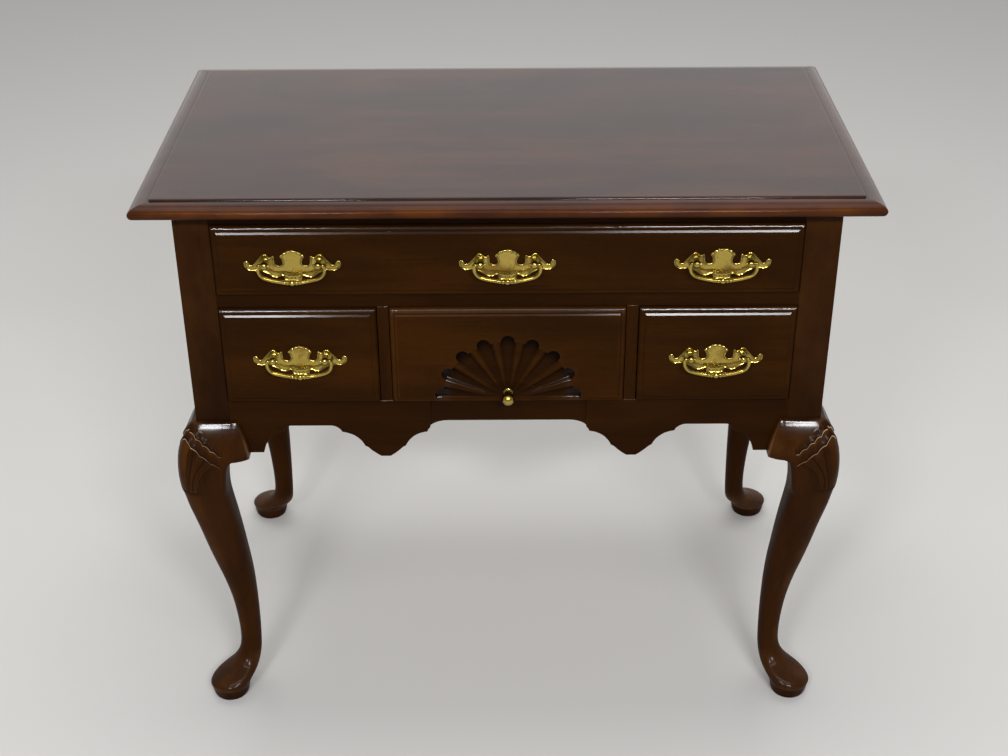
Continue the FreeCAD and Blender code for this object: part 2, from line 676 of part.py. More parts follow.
def add_drawers():
    wide = OPENING_HALF - DRAWER_GAP
    beside = DIVIDER_OFFSET + DIVIDER_WIDTH / 2 + DRAWER_GAP
    between = DIVIDER_OFFSET - DIVIDER_WIDTH / 2 - DRAWER_GAP
    low, high = APRON_TOP + DRAWER_GAP, RAIL_BOTTOM - DRAWER_GAP
    drawer("top", -wide, wide, RAIL_TOP + DRAWER_GAP, TOP_RAIL_BOTTOM - DRAWER_GAP)
    drawer("left", -wide, -beside, low, high)
    drawer("centre", -between, between, low, high, carved_fan)
    drawer("right", beside, wide, low, high)
    add_knob(low)


# ---------------------------------------------------------------- brass knob

def add_knob(z0):
    """A turned knob: stud, collar, neck and ball, on an axis along Y."""
    z = z0 + KNOB_RISE
    foot = DRAWER_FACE + HUB_DISH_DEPTH
    seat = foot - KNOB_COLLAR
    stud = rod(KNOB_STUD_RADIUS, V(0, foot + KNOB_STUD, z), V(0, seat, z))
    collar = rod(KNOB_COLLAR_RADIUS, V(0, foot, z), V(0, seat, z))
    collar = collar.common(hub_dish(z0))
    centre = V(0, DRAWER_FACE - KNOB_REACH, z)
    neck = Part.makeCone(KNOB_NECK_FOOT_RADIUS, KNOB_NECK_RADIUS, seat - centre.y, V(0, seat, z), V(0, -1, 0))
    nodes["centre_knob"] = joined([stud, collar, neck, Part.makeSphere(KNOB_BALL_RADIUS, centre)])


# ---------------------------------------------------------------- brass pulls

def crest_steps():
    """The scalloped shell at the top of a backplate, from its left end to its right end."""
    def at(degrees, radius):
        angle = math.radians(degrees)
        return (radius * math.cos(angle), CREST_CENTRE + radius * math.sin(angle))
    first = 90.0 + CREST_SCALLOP * CREST_SCALLOPS / 2.0
    steps = []
    for k in range(CREST_SCALLOPS):
        middle = first - CREST_SCALLOP * (k + 0.5)
        steps.append((at(middle, CREST_RADIUS + CREST_BULGE), at(middle - CREST_SCALLOP / 2, CREST_RADIUS)))
    return at(first, CREST_RADIUS), steps


def plate_wire(y, x, z):
    crest_start, steps = crest_steps()
    crest_end = steps[-1][-1]
    right = list(WING_STEPS)
    _, left = reversed_steps(crest_end, right)
    left = [tuple((-px, pz) for px, pz in step) for step in left]
    return outline(lambda px, pz: V(x + px, y, z + pz), crest_start, steps + right + left)


def bail(x, y, z):
    """The swinging handle: two pins through the eyes, a bowed rod and a turned middle."""
    corner_x = BAIL_HALF - BAIL_CORNER
    rise = BAIL_DROP - BAIL_SHOULDER
    bow = (corner_x ** 2 + rise ** 2 - BAIL_CORNER ** 2) / (2.0 * (rise - BAIL_CORNER))
    bow_centre = bow - BAIL_DROP
    lean = math.atan2(corner_x, bow_centre + BAIL_SHOULDER)
    turn = (math.pi / 2 - lean) / 2 + lean

    def at(px, pz):
        return V(x + px, y, z + pz)

    def on_bow(angle):
        return (bow * math.sin(angle), bow_centre - bow * math.cos(angle))

    def on_corner(angle, sign):
        return (sign * (corner_x + BAIL_CORNER * math.sin(angle)),
                -BAIL_SHOULDER - BAIL_CORNER * math.cos(angle))

    half = POST_SPACING / 2.0
    bead = half + EYE_RADIUS + BEAD_GAP
    elbow = BAIL_HALF - bead - BEAD_LAP
    edges = []
    for sign in (-1, 1):
        outer, top = sign * BAIL_HALF, (sign * (BAIL_HALF - elbow), 0.0)
        dodge = elbow * (1.0 - math.sqrt(0.5))
        pieces = [Part.Arc(at(*top), at(outer - sign * dodge, -dodge), at(outer, -elbow)),
                  Part.LineSegment(at(outer, -elbow), at(outer, -BAIL_SHOULDER)),
                  Part.Arc(at(outer, -BAIL_SHOULDER), at(*on_corner(turn, sign)), at(*on_corner(lean, sign)))]
        edges.append([piece.toShape() for piece in pieces])
    bottom = Part.Arc(at(*on_bow(-lean)), at(*on_bow(0.0)), at(*on_bow(lean))).toShape()
    path = Part.Wire(edges[0] + [bottom] + edges[1][::-1])
    ring = Part.Wire([Part.makeCircle(BAIL_RADIUS, at(-(BAIL_HALF - elbow), 0.0), V(-1, 0, 0))])
    pieces = [path.makePipeShell([ring], True, False)]
    for sign in (-1, 1):
        pieces.append(rod(PIN_RADIUS, at(sign * (half - PIN_INNER), 0), at(sign * (BAIL_HALF - elbow), 0)))
        pieces.append(rod(BEAD_RADIUS, at(sign * bead, 0), at(sign * (bead + BEAD_LENGTH), 0)))
    low = -BAIL_DROP
    turned = outline(at, (-SPINDLE_HALF, low),
                     [((-SPINDLE_HALF, low - BAIL_RADIUS),),
                      ((0.0, low - SPINDLE_RADIUS), (SPINDLE_HALF, low - BAIL_RADIUS)),
                      ((SPINDLE_HALF, low),)])
    pieces.append(Part.Face(turned).revolve(at(0, low), V(1, 0, 0), 360))
    return joined(pieces)


def eye_post(x, y, z):
    """One post of a pull: stud through the drawer front, shoulder, and the eye that a bail pin turns in."""
    inside = DRAWER_INSIDE + PULL_NUT_THICKNESS
    eye = y - EYE_REACH
    stem = rod(PULL_STUD_RADIUS, V(x, inside, z), V(x, y - PLATE_THICKNESS, z))
    shoulder = rod(PULL_POST_RADIUS, V(x, y - PLATE_THICKNESS, z), V(x, eye, z))
    ball = Part.makeSphere(EYE_RADIUS, V(x, eye, z))
    hole = rod(PIN_RADIUS + PIN_FIT, V(x - 2 * EYE_RADIUS, eye, z), V(x + 2 * EYE_RADIUS, eye, z))
    return joined([stem, shoulder, ball]).cut(hole)


def pull_nut(x, z):
    start = V(x, DRAWER_INSIDE, z)
    nut = rod(PULL_NUT_RADIUS, start, start + V(0, PULL_NUT_THICKNESS, 0))
    return nut.cut(rod(PULL_STUD_RADIUS, start, start + V(0, PULL_NUT_THICKNESS, 0)))


def add_pull(name, x, z):
    """A backplate and a bail; returns the pull's posts, its nuts, and the hole that the stud needs."""
    y = DRAWER_FACE
    plate = slab(plate_wire(y, x, z), V(0, -PLATE_THICKNESS, 0))
    posts, nuts, holes = [], [], []
    for side in (-1, 1):
        px = x + side * POST_SPACING / 2
        hole = rod(PULL_STUD_RADIUS, V(px, DRAWER_INSIDE, z), V(px, y - PLATE_THICKNESS, z))
        plate = plate.cut(hole)
        posts.append(eye_post(px, y, z))
        nuts.append(pull_nut(px, z))
        holes.append(hole)
    nodes["backplate_" + name] = plate
    nodes["bail_" + name] = bail(x, y - EYE_REACH, z)
    return posts, nuts, holes


def add_pulls():
    upper = RAIL_TOP + DRAWER_GAP + PULL_RISE_UPPER
    lower = APRON_TOP + DRAWER_GAP + PULL_RISE_LOWER
    small = (OPENING_HALF + DIVIDER_OFFSET + DIVIDER_WIDTH / 2) / 2.0
    sets = {"top": [("top_left", -small, upper), ("top_centre", 0.0, upper), ("top_right", small, upper)],
            "left": [("left", -small, lower)], "right": [("right", small, lower)]}
    for owner, pulls in sets.items():
        posts, nuts = [], []
        for name, x, z in pulls:
            new_posts, new_nuts, holes = add_pull(name, x, z)
            posts += new_posts
            nuts += new_nuts
            for hole in holes:
                nodes[owner + "_drawer_front"] = nodes[owner + "_drawer_front"].cut(hole)
        nodes["pull_posts_" + owner] = Part.makeCompound(posts)
        nodes["pull_nuts_" + owner] = Part.makeCompound(nuts)


# ---------------------------------------------------------------- build

nodes["top_board"] = top_board()
add_legs()
add_case()
add_knee_blocks()
add_runners()
add_fixings()
add_drawers()
add_pulls()

os.makedirs("parts", exist_ok=True)
for name, shape in nodes.items():
    shape.exportStep("parts/" + name + ".step")
    solids = shape.Solids
    extent = shape.BoundBox
    print("%-30s solids %d volume %.1f valid %s z %.2f..%.2f" %
          (name, len(solids), shape.Volume, shape.isValid(), extent.ZMin, extent.ZMax))
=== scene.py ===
import math

import bmesh
import bpy
import numpy as np
from mathutils import Matrix, Vector
from mathutils.geometry import delaunay_2d_cdt


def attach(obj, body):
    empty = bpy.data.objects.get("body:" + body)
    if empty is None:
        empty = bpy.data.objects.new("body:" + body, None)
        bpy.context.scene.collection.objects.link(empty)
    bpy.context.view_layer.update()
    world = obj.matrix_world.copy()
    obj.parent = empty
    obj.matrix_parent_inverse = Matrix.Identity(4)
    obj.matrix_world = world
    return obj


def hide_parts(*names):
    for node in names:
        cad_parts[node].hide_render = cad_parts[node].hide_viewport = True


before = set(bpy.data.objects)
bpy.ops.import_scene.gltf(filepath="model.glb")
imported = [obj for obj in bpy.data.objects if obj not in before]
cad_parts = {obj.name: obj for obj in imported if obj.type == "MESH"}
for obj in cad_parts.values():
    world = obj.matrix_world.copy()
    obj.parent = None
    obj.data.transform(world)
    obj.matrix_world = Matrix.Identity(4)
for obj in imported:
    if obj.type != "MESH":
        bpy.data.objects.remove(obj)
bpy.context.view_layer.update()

# Lengths are in millimetres of the frame: X to the right, Y to the back, Z up from the floor.
MM = 0.001

# the overall shape: the top board, the case under it, its corner posts, and the knees' top
HEIGHT = 762.0
TOP_LEFT, TOP_RIGHT = -435.0, 435.0
TOP_FRONT, TOP_BACK = -255.0, 228.0
CASE_HALF = 394.0
CASE_FRONT, CASE_BACK = -214.0, 225.0
CASE_TOP = 744.0
POST = 43.0
KNEE_TOP = 449.0
BRACKET_FOOT = 401.0

# where in the wood's pattern a board may begin, in metres
GRAIN_START = (0.3, 2.0)


# ---------------------------------------------------------------- helpers

def smooth_step(low, high, value):
    """0 below low, 1 above high and an even curve between."""
    t = np.clip((value - low) / (high - low), 0.0, 1.0)
    return t * t * (3.0 - 2.0 * t)


def bell(value, strength, centre, width):
    """A soft rise and fall of a value round a centre."""
    return strength * np.exp(-((value - centre) / width) ** 2)


def round_in(share):
    """A quarter round that falls from 0 to 1."""
    return 1 - np.sqrt(1 - share ** 2)


def curve_through(rows, spacing):
    """Rows of numbers on a smooth curve through the given rows; the first two set its length."""
    p = np.array(rows, dtype=float)
    gap = np.hypot(np.diff(p[:, 0]), np.diff(p[:, 1]))
    at = np.concatenate([[0.0], np.cumsum(gap)])
    chord = np.diff(p, axis=0) / gap[:, None]
    before, after = gap[:-1, None], gap[1:, None]
    inner = (chord[1:] * before + chord[:-1] * after) / (before + after)
    slope = np.concatenate([chord[:1], inner, chord[-1:]])
    s = spacing(at[-1])
    k = np.clip(np.searchsorted(at, s, side="right") - 1, 0, len(p) - 2)
    h = gap[k][:, None]
    t = ((s - at[k]) / gap[k])[:, None]
    return ((2 * t**3 - 3 * t**2 + 1) * p[k] + (t**3 - 2 * t**2 + t) * h * slope[k]
            + (3 * t**2 - 2 * t**3) * p[k + 1] + (t**3 - t**2) * h * slope[k + 1])


def row_value(rows, height):
    """A value from a table of (height, value), straight between its rows."""
    table = sorted(rows)
    return np.interp(height, [r[0] for r in table], [r[1] for r in table])


def grid_faces(rows, columns, closed_columns=False, start=0):
    """Quads between the points of a grid laid out row after row."""
    wide = columns if closed_columns else columns - 1
    faces = []
    for i in range(rows - 1):
        for j in range(wide):
            a = start + i * columns + j
            b = start + i * columns + (j + 1) % columns
            faces.append((a, b, b + columns, a + columns))
    return faces


def closed_loft(loops):
    """Points and faces of a solid whose skin runs through closed loops of equal length."""
    loops = np.array(loops, dtype=float)
    rows, columns = loops.shape[:2]
    faces = grid_faces(rows, columns, closed_columns=True)
    faces.append(tuple(range(columns))[::-1])
    faces.append(tuple(range((rows - 1) * columns, rows * columns)))
    return loops.reshape(-1, 3), faces


def closed_slab(front, back):
    """Points and faces of a solid between two grids of the same size that face each other."""
    rows, columns = front.shape[:2]
    count = rows * columns
    faces = grid_faces(rows, columns)
    faces += [tuple(count + k for k in face[::-1]) for face in faces]
    at = np.arange(count).reshape(rows, columns)
    rim = [int(k) for k in np.concatenate([at[0], at[1:, -1], at[-1, -2::-1], at[-2:0:-1, 0]])]
    faces += [(b, a, count + a, count + b) for a, b in zip(rim, rim[1:] + rim[:1])]
    return np.concatenate([front.reshape(-1, 3), back.reshape(-1, 3)]), faces


def join_shells(shells):
    """One list of points and faces from several."""
    points, faces, start = [], [], 0
    for shell_points, shell_faces in shells:
        points.append(np.asarray(shell_points, dtype=float))
        faces += [tuple(start + k for k in face) for face in shell_faces]
        start += len(shell_points)
    return np.concatenate(points), faces


def lathe(profile, base, axis, segments=32):
    """A turned solid: profile is (radius, distance along the axis) from one end to the other."""
    axis = Vector(axis).normalized()
    side = axis.orthogonal().normalized()
    other = axis.cross(side)
    turns = [2 * math.pi * k / segments for k in range(segments)]
    return closed_loft([[Vector(base) + axis * along
                         + (side * math.cos(turn) + other * math.sin(turn)) * max(radius, 0.01)
                         for turn in turns] for radius, along in profile])


def outward_mesh(name, points, faces):
    """A mesh from points in millimetres, with its faces turned outwards."""
    mesh = bpy.data.meshes.new(name)
    mesh.from_pydata((np.asarray(points) * MM).tolist(), [], [list(f) for f in faces])
    work = bmesh.new()
    work.from_mesh(mesh)
    bmesh.ops.recalc_face_normals(work, faces=work.faces)
    work.to_mesh(mesh)
    work.free()
    return mesh


def in_scene(name, data):
    """A new object of the scene for a mesh, a light or a camera."""
    item = bpy.data.objects.new(name, data)
    bpy.context.scene.collection.objects.link(item)
    return item


def mesh_piece(name, points, faces, body, nodes, material, smooth=34.0, grain="x",
               wear_and_highlight=None, hollow=None, face_wear=None, moulded=None, face_moulded=None, seed=0):
    """A shown piece from points in millimetres. It rides a body and stands for the CAD nodes."""
    mesh = outward_mesh(name, points, faces)
    mesh.shade_smooth()
    mesh.set_sharp_from_angle(angle=math.radians(smooth))
    if face_wear is not None:
        round_the_edges(mesh, face_wear)
    lay_grain(mesh, grain, seed or sum(map(ord, name)))
    # this mark is real wear, and on the legs it also carries painted highlights in the rubbed colour and a
    # pale colour
    spread(mesh, "wear_and_highlight", wear_and_highlight, face_wear)
    spread(mesh, "hollow", hollow)
    spread(mesh, "moulded", moulded, face_moulded)
    mesh.materials.append(material)
    piece = in_scene(name, mesh)
    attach(piece, body)
    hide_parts(*nodes)
    return piece


def spread(mesh, name, values=None, face_values=None):
    """A named number on each point, or on each face; 0 past the last number given."""
    on_faces = face_values is not None
    given = face_values if on_faces else [] if values is None else values
    layer = mesh.attributes.new(name, "FLOAT", "FACE" if on_faces else "POINT")
    shown = np.zeros(len(layer.data), dtype=np.float32)
    shown[:np.size(given)] = np.ravel(given)
    layer.data.foreach_set("value", shown)


def lay_grain(mesh, along, seed):
    """Coordinates in metres along, across and through the board that the piece was cut from."""
    places = np.empty(len(mesh.vertices) * 3)
    mesh.vertices.foreach_get("co", places)
    order = {"x": (0, 2, 1), "y": (1, 2, 0), "z": (2, 0, 1), "flat": (0, 1, 2)}[along]
    start = np.random.default_rng(seed).uniform(*GRAIN_START, 3)
    layer = mesh.attributes.new("grain", "FLOAT_VECTOR", "POINT")
    layer.data.foreach_set("vector", (places.reshape(-1, 3)[:, order] + start).astype(np.float32).ravel())


DRAWERS = ("top_drawer", "left_drawer", "centre_drawer", "right_drawer")
# the drawer fronts: face and rear, the slope round the raised field, and the moulded edge
DRAWER_FACE, DRAWER_REAR = -222.0, -209.5
FIELD_SLOPE_DEPTH, FIELD_SLOPE_HEIGHT = 1.3, 2.25
SLOPE_WEAR, SLOPE_POLISH = 0.6, 0.42
LIP_BACK, LIP_ROUND, LIP_FRONT = -216.2, 5.0, -220.3
# how near to the field's plane and to its border a point still counts as on it
FIELD_NEAR, BORDER_NEAR = 0.01, 0.02
# in metres, how near two points are one; in degrees, the turns between faces that make one flat,
# that leave a hard edge to be taken off, and that stay hard after it
WELD, FLAT_TURN, EDGE_TURN, CORNER_TURN = 2e-6, 0.8, 33.0, 25.0


def body_of_node(name):
    """The CAD body that a node of the frame belongs to."""
    return next((part for part in DRAWERS if name.startswith(part)), "case")


def bevelled(work, edges, offset, segments):
    """Take edges off by an offset in millimetres; gives back the new faces."""
    return bmesh.ops.bevel(work, geom=edges, offset=offset * MM, offset_type="OFFSET", segments=segments,
                           profile=0.5, affect="EDGES", clamp_overlap=True)["faces"]


def chamfer_field(work):
    """Slope the border of a drawer front's raised field; gives back the sloping faces."""
    def on_field(vert):
        return vert.co.y < (DRAWER_FACE + FIELD_NEAR) * MM

    field = [v for v in work.verts if on_field(v)]
    spans = [(axis, min(v.co[axis] for v in field), max(v.co[axis] for v in field)) for axis in (0, 2)]

    def at_border(vert):
        return any(min(vert.co[axis] - low, high - vert.co[axis]) < BORDER_NEAR * MM
                   for axis, low, high in spans)

    border = [e for e in work.edges if all(on_field(v) and at_border(v) for v in e.verts)]
    slopes = bevelled(work, border, FIELD_SLOPE_DEPTH, 1)
    extra = (FIELD_SLOPE_HEIGHT - FIELD_SLOPE_DEPTH) * MM
    for vert in {v for f in slopes for v in f.verts if on_field(v)}:
        for axis, low, high in spans:
            if vert.co[axis] - low < FIELD_SLOPE_HEIGHT * MM:
                vert.co[axis] += extra
            if high - vert.co[axis] < FIELD_SLOPE_HEIGHT * MM:
                vert.co[axis] -= extra
    return slopes


def eased_mesh(name, ease, cut=None):
    """A CAD node's own shape as points and faces, every hard edge taken off; plus each face's wear."""
    work = bmesh.new()
    work.from_mesh(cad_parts[name].data)
    bmesh.ops.remove_doubles(work, verts=work.verts, dist=WELD)
    if cut is not None:
        bmesh.ops.bisect_plane(work, geom=work.verts[:] + work.edges[:] + work.faces[:],
                               plane_co=(0.0, cut * MM, 0.0), plane_no=(0.0, -1.0, 0.0),
                               clear_outer=True)
        bmesh.ops.holes_fill(work, edges=[e for e in work.edges if len(e.link_faces) == 1])
    bmesh.ops.dissolve_limit(work, angle_limit=math.radians(FLAT_TURN), verts=work.verts,
                             edges=work.edges)
    slopes = chamfer_field(work) if name.endswith("_front") and cut is None else []
    slope_edges = {e for f in slopes for e in f.edges}
    hard = [e for e in work.edges if e not in slope_edges
            and len(e.link_faces) == 2 and e.calc_face_angle(0.0) > math.radians(EDGE_TURN)]
    eased = set(bevelled(work, hard, ease, 2))
    work.verts.index_update()
    points = [tuple(v.co / MM) for v in work.verts]
    faces = [tuple(v.index for v in f.verts) for f in work.faces]
    slopes = {f for f in slopes if f.is_valid}
    wear_and_highlight = [SLOPE_WEAR if f in slopes else 1.0 if f in eased else 0.0 for f in work.faces]
    work.free()
    return points, faces, wear_and_highlight


def eased_board(name, material, grain="x", ease=0.5, smooth=34.0):
    """A plain board of the case or of a drawer, in its own shape with its edges taken off."""
    points, faces, wear_and_highlight = eased_mesh(name, ease)
    moulded = np.array(wear_and_highlight)
    if name.endswith("_front"):
        moulded = np.where(moulded == SLOPE_WEAR, 0.0, moulded)
        moulded = np.maximum(moulded, lip_faces(points, faces))
    moulded = moulded * smooth_step(0.1, 0.35, facing_up(points, faces))
    return mesh_piece("piece_" + name, points, faces, body_of_node(name), [name], material,
                      smooth=smooth, grain=grain, face_wear=wear_and_highlight, face_moulded=moulded)


def facing_up(points, faces):
    """How far each face looks upwards: 1 for a level one."""
    result = []
    for face in faces:
        corners = np.array([points[k] for k in face])
        turned = np.cross(corners, np.roll(corners, -1, axis=0)).sum(axis=0)
        result.append(turned[2] / max(np.linalg.norm(turned), 1e-9))
    return np.array(result)


def round_the_edges(mesh, eased):
    """Shade flat faces flat, and the eased edges between them as one round turn."""
    eased = np.asarray(eased) > SLOPE_WEAR + 0.1
    normal = np.array([face.normal[:] for face in mesh.polygons])
    area = np.array([face.area for face in mesh.polygons])
    face_of = np.repeat(np.arange(len(mesh.polygons)), [face.loop_total for face in mesh.polygons])
    corner_of = np.empty(len(mesh.loops), dtype=np.int32)
    mesh.loops.foreach_get("vertex_index", corner_of)
    flat = np.zeros((len(mesh.vertices), 3))
    turning = np.zeros_like(flat)
    plain = ~eased[face_of]
    np.add.at(flat, corner_of[plain], (normal * area[:, None])[face_of[plain]])
    np.add.at(turning, corner_of[~plain], normal[face_of[~plain]])
    on_flat = np.linalg.norm(flat, axis=1, keepdims=True) > 0.0
    total = np.where(on_flat, flat, turning)
    total /= np.maximum(np.linalg.norm(total, axis=1, keepdims=True), 1e-12)
    agrees = (normal[face_of] * total[corner_of]).sum(axis=1)
    hard = np.zeros(len(mesh.vertices), dtype=bool)
    hard[corner_of[plain & (agrees < math.cos(math.radians(CORNER_TURN)))]] = True
    shown = np.where(hard[corner_of][:, None], normal[face_of], total[corner_of])
    mesh.normals_split_custom_set(shown.tolist())


def lip_faces(points, faces):
    """1 for the faces of a drawer front's moulded edge, and less for the field's sloping border."""
    depth = np.array([np.mean([points[k][1] for k in face]) for face in faces])
    polish_share = np.where(depth < DRAWER_FACE + FIELD_SLOPE_DEPTH - 0.1, SLOPE_POLISH, 1.0)
    return polish_share * ((depth > DRAWER_FACE + 0.2) & (depth < LIP_BACK + 1.0))


# ---------------------------------------------------------------- shader parts

NODE_STEP = 180.0


def feed(tree, item, values):
    """Link or set the inputs of a node, each given by its name or number."""
    for key, value in values.items():
        socket = item.inputs[key]
        if isinstance(value, bpy.types.NodeSocket):
            tree.links.new(value, socket)
        else:
            socket.default_value = (*value, 1.0) if socket.type == "RGBA" else value


def add_node(tree, kind, inputs=None, **settings):
    """A node to the right of the last one, with its settings made and its inputs fed."""
    item = tree.nodes.new(kind)
    item.location = (NODE_STEP * len(tree.nodes), 0.0)
    for key, value in settings.items():
        setattr(item, key, value)
    feed(tree, item, inputs or {})
    return item


def new_group(name, inputs, outputs, kind="ShaderNodeTree"):
    """A node group, with the kinds of its named inputs and outputs, and its first and last node."""
    tree = bpy.data.node_groups.new(name, kind)
    for in_out, sockets in (("INPUT", inputs), ("OUTPUT", outputs)):
        for label, socket_kind in sockets.items():
            tree.interface.new_socket(label, in_out=in_out, socket_type="NodeSocket" + socket_kind)
    start = add_node(tree, "NodeGroupInput")
    return tree, start.outputs, add_node(tree, "NodeGroupOutput")


def stretched_noise(tree, source, scale, detail, rough, distortion=0.0):
    """Noise on coordinates stretched by a different amount each way."""
    stretched = add_node(tree, "ShaderNodeVectorMath", {0: source, 1: scale}, operation="MULTIPLY")
    noise = add_node(tree, "ShaderNodeTexNoise",
                     {"Vector": stretched.outputs[0], "Scale": 1.0, "Detail": detail, "Roughness": rough,
                      "Distortion": distortion}, noise_dimensions="3D")
    return noise.outputs["Fac"]


def math_node(tree, operation, *values, clamp=False):
    """A sum, product or the like of numbers or sockets."""
    return add_node(tree, "ShaderNodeMath", dict(enumerate(values)), operation=operation,
                    use_clamp=clamp).outputs[0]


def ranged(tree, source, low, high, out_low, out_high):
    """A value moved from one range to another and held inside it."""
    inputs = {"Value": source, "From Min": low, "From Max": high, "To Min": out_low, "To Max": out_high}
    return add_node(tree, "ShaderNodeMapRange", inputs, clamp=True,
                    interpolation_type="SMOOTHSTEP").outputs["Result"]


def mixed(tree, factor, first, second):
    """Two colours mixed by a factor."""
    item = add_node(tree, "ShaderNodeMix", data_type="RGBA")
    places = [k for k, socket in enumerate(item.inputs) if socket.enabled]
    feed(tree, item, dict(zip(places, (factor, first, second))))
    return [socket for socket in item.outputs if socket.enabled][0]


def wood_figure_group():
    """Cloudy stain, a soft grain and open pores along a board's own coordinates."""
    tree, start, end = new_group(
        "Wood figure", {"Grain": "Vector", "Pale": "Color", "Deep": "Color", "Contrast": "Float"},
        {"Color": "Color", "Height": "Float"})
    cloud = stretched_noise(tree, start["Grain"], (3.6, 11.0, 11.0), 4.0, 0.5, 0.5)
    ribbon = stretched_noise(tree, start["Grain"], (2.4, 46.0, 46.0), 3.0, 0.55, 0.4)
    streak = stretched_noise(tree, start["Grain"], (9.0, 420.0, 420.0), 3.0, 0.6, 0.2)
    pore = stretched_noise(tree, start["Grain"], (70.0, 1600.0, 1600.0), 1.0, 0.5)
    total = math_node(tree, "MULTIPLY", cloud, 0.56)
    total = math_node(tree, "MULTIPLY_ADD", ribbon, 0.28, total)
    total = math_node(tree, "MULTIPLY_ADD", streak, 0.16, total)
    level = math_node(tree, "SUBTRACT", ranged(tree, total, 0.38, 0.62, 0.0, 1.0), 0.5)
    level = math_node(tree, "MULTIPLY_ADD", level, start["Contrast"], 0.5, clamp=True)
    colour = mixed(tree, level, start["Deep"], start["Pale"])
    pores = ranged(tree, pore, 0.6, 0.7, 0.0, 1.0)
    colour = mixed(tree, math_node(tree, "MULTIPLY", pores, 0.4), colour, PORE_COLOUR)
    feed(tree, end, {"Color": colour, "Height": math_node(tree, "MULTIPLY", pores, -1.0)})
    return tree


def age_and_painted_light_group():
    """Rubbed arrises, painted highlights, dark polish left in the hollows with painted shade, and soft
    uneven gloss.
    """
    tree, start, end = new_group(
        "Age of the polish and painted light",
        {"Color": "Color", "Grain": "Vector", "Wear and highlight": "Float", "Hollow": "Float", "Rubbed and highlight color": "Color",
         "Wear amount": "Float", "Roughness": "Float"}, {"Color": "Color", "Roughness": "Float"})
    patch = stretched_noise(tree, start["Grain"], (9.0, 13.0, 13.0), 4.0, 0.6)
    patchy = ranged(tree, patch, 0.4, 0.66, 0.15, 1.0)
    # the rubbed colour comes in by the wear mark, which on the legs also carries painted highlights
    rubbed_and_highlight = math_node(tree, "MULTIPLY", patchy, start["Wear and highlight"])
    rubbed_and_highlight = math_node(tree, "MULTIPLY", rubbed_and_highlight, start["Wear amount"], clamp=True)
    colour = mixed(tree, rubbed_and_highlight, start["Color"], start["Rubbed and highlight color"])
    # wear past 1 mixes in a pale colour: a painted highlight
    painted_highlight = math_node(tree, "MULTIPLY", ranged(tree, start["Wear and highlight"], 1.0, 2.0, 0.0, 1.0), patchy)
    colour = mixed(tree, painted_highlight, colour, PAINTED_HIGHLIGHT_COLOUR)
    # the hollow mark darkens the colour: painted shade in the flutes, in the top's quirk and at the post's
    # foot
    darkening = math_node(tree, "MULTIPLY", start["Hollow"], 0.85, clamp=True)
    colour = mixed(tree, darkening, colour, GRIME_AND_SHADE_COLOUR)
    haze = stretched_noise(tree, start["Grain"], (22.0, 30.0, 30.0), 3.0, 0.55)
    gloss = math_node(tree, "ADD", start["Roughness"], ranged(tree, haze, 0.3, 0.7, -0.04, 0.05))
    feed(tree, end, {"Color": colour, "Roughness": math_node(tree, "MULTIPLY_ADD", darkening, 0.3, gloss)})
    return tree


def metal_age_group():
    """Old brass: bright where it is handled, brown and orange in patches, dull in the hollows."""
    tree, start, end = new_group(
        "Old brass",
        {"Position": "Vector", "Bright": "Color", "Aged": "Color", "Dull": "Color", "Wear and highlight": "Float",
         "Hollow": "Float"}, {"Color": "Color", "Roughness": "Float", "Height": "Float"})
    large = stretched_noise(tree, start["Position"], (38.0, 38.0, 38.0), 4.0, 0.55, 0.4)
    small = stretched_noise(tree, start["Position"], (260.0, 260.0, 260.0), 3.0, 0.6)
    fine = stretched_noise(tree, start["Position"], (1100.0, 1100.0, 1100.0), 2.0, 0.6)
    aged = ranged(tree, large, 0.44, 0.64, 0.0, 0.85)
    aged = math_node(tree, "SUBTRACT", aged, start["Wear and highlight"], clamp=True)
    colour = mixed(tree, aged, start["Bright"], start["Aged"])
    spots = ranged(tree, small, 0.58, 0.76, 0.0, 0.5)
    spots = math_node(tree, "ADD", spots, start["Hollow"], clamp=True)
    colour = mixed(tree, spots, colour, start["Dull"])
    rough = math_node(tree, "MULTIPLY_ADD", aged, 0.14, 0.24)
    rough = math_node(tree, "MULTIPLY_ADD", spots, 0.2, rough)
    rough = math_node(tree, "MULTIPLY_ADD", start["Wear and highlight"], -0.1, rough)
    feed(tree, end, {"Color": colour, "Roughness": rough, "Height": fine})
    return tree


def attribute(tree, name, output="Fac"):
    """The socket of a named attribute of the piece."""
    item = add_node(tree, "ShaderNodeAttribute", attribute_name=name, attribute_type="GEOMETRY")
    return item.outputs[output]


def bump(tree, height, strength, distance):
    """A normal from a height."""
    return add_node(tree, "ShaderNodeBump",
                    {"Strength": strength, "Distance": distance, "Height": height}).outputs["Normal"]


def empty_material(name, shown, inputs=None):
    """A material with only a Principled shader, and its tree and shader."""
    material = bpy.data.materials.new(name)
    material.use_nodes = True
    material.diffuse_color = (*shown, 1.0)
    tree = material.node_tree
    tree.nodes.clear()
    shader = add_node(tree, "ShaderNodeBsdfPrincipled", inputs)
    add_node(tree, "ShaderNodeOutputMaterial", {"Surface": shader.outputs[0]})
    return material, tree, shader


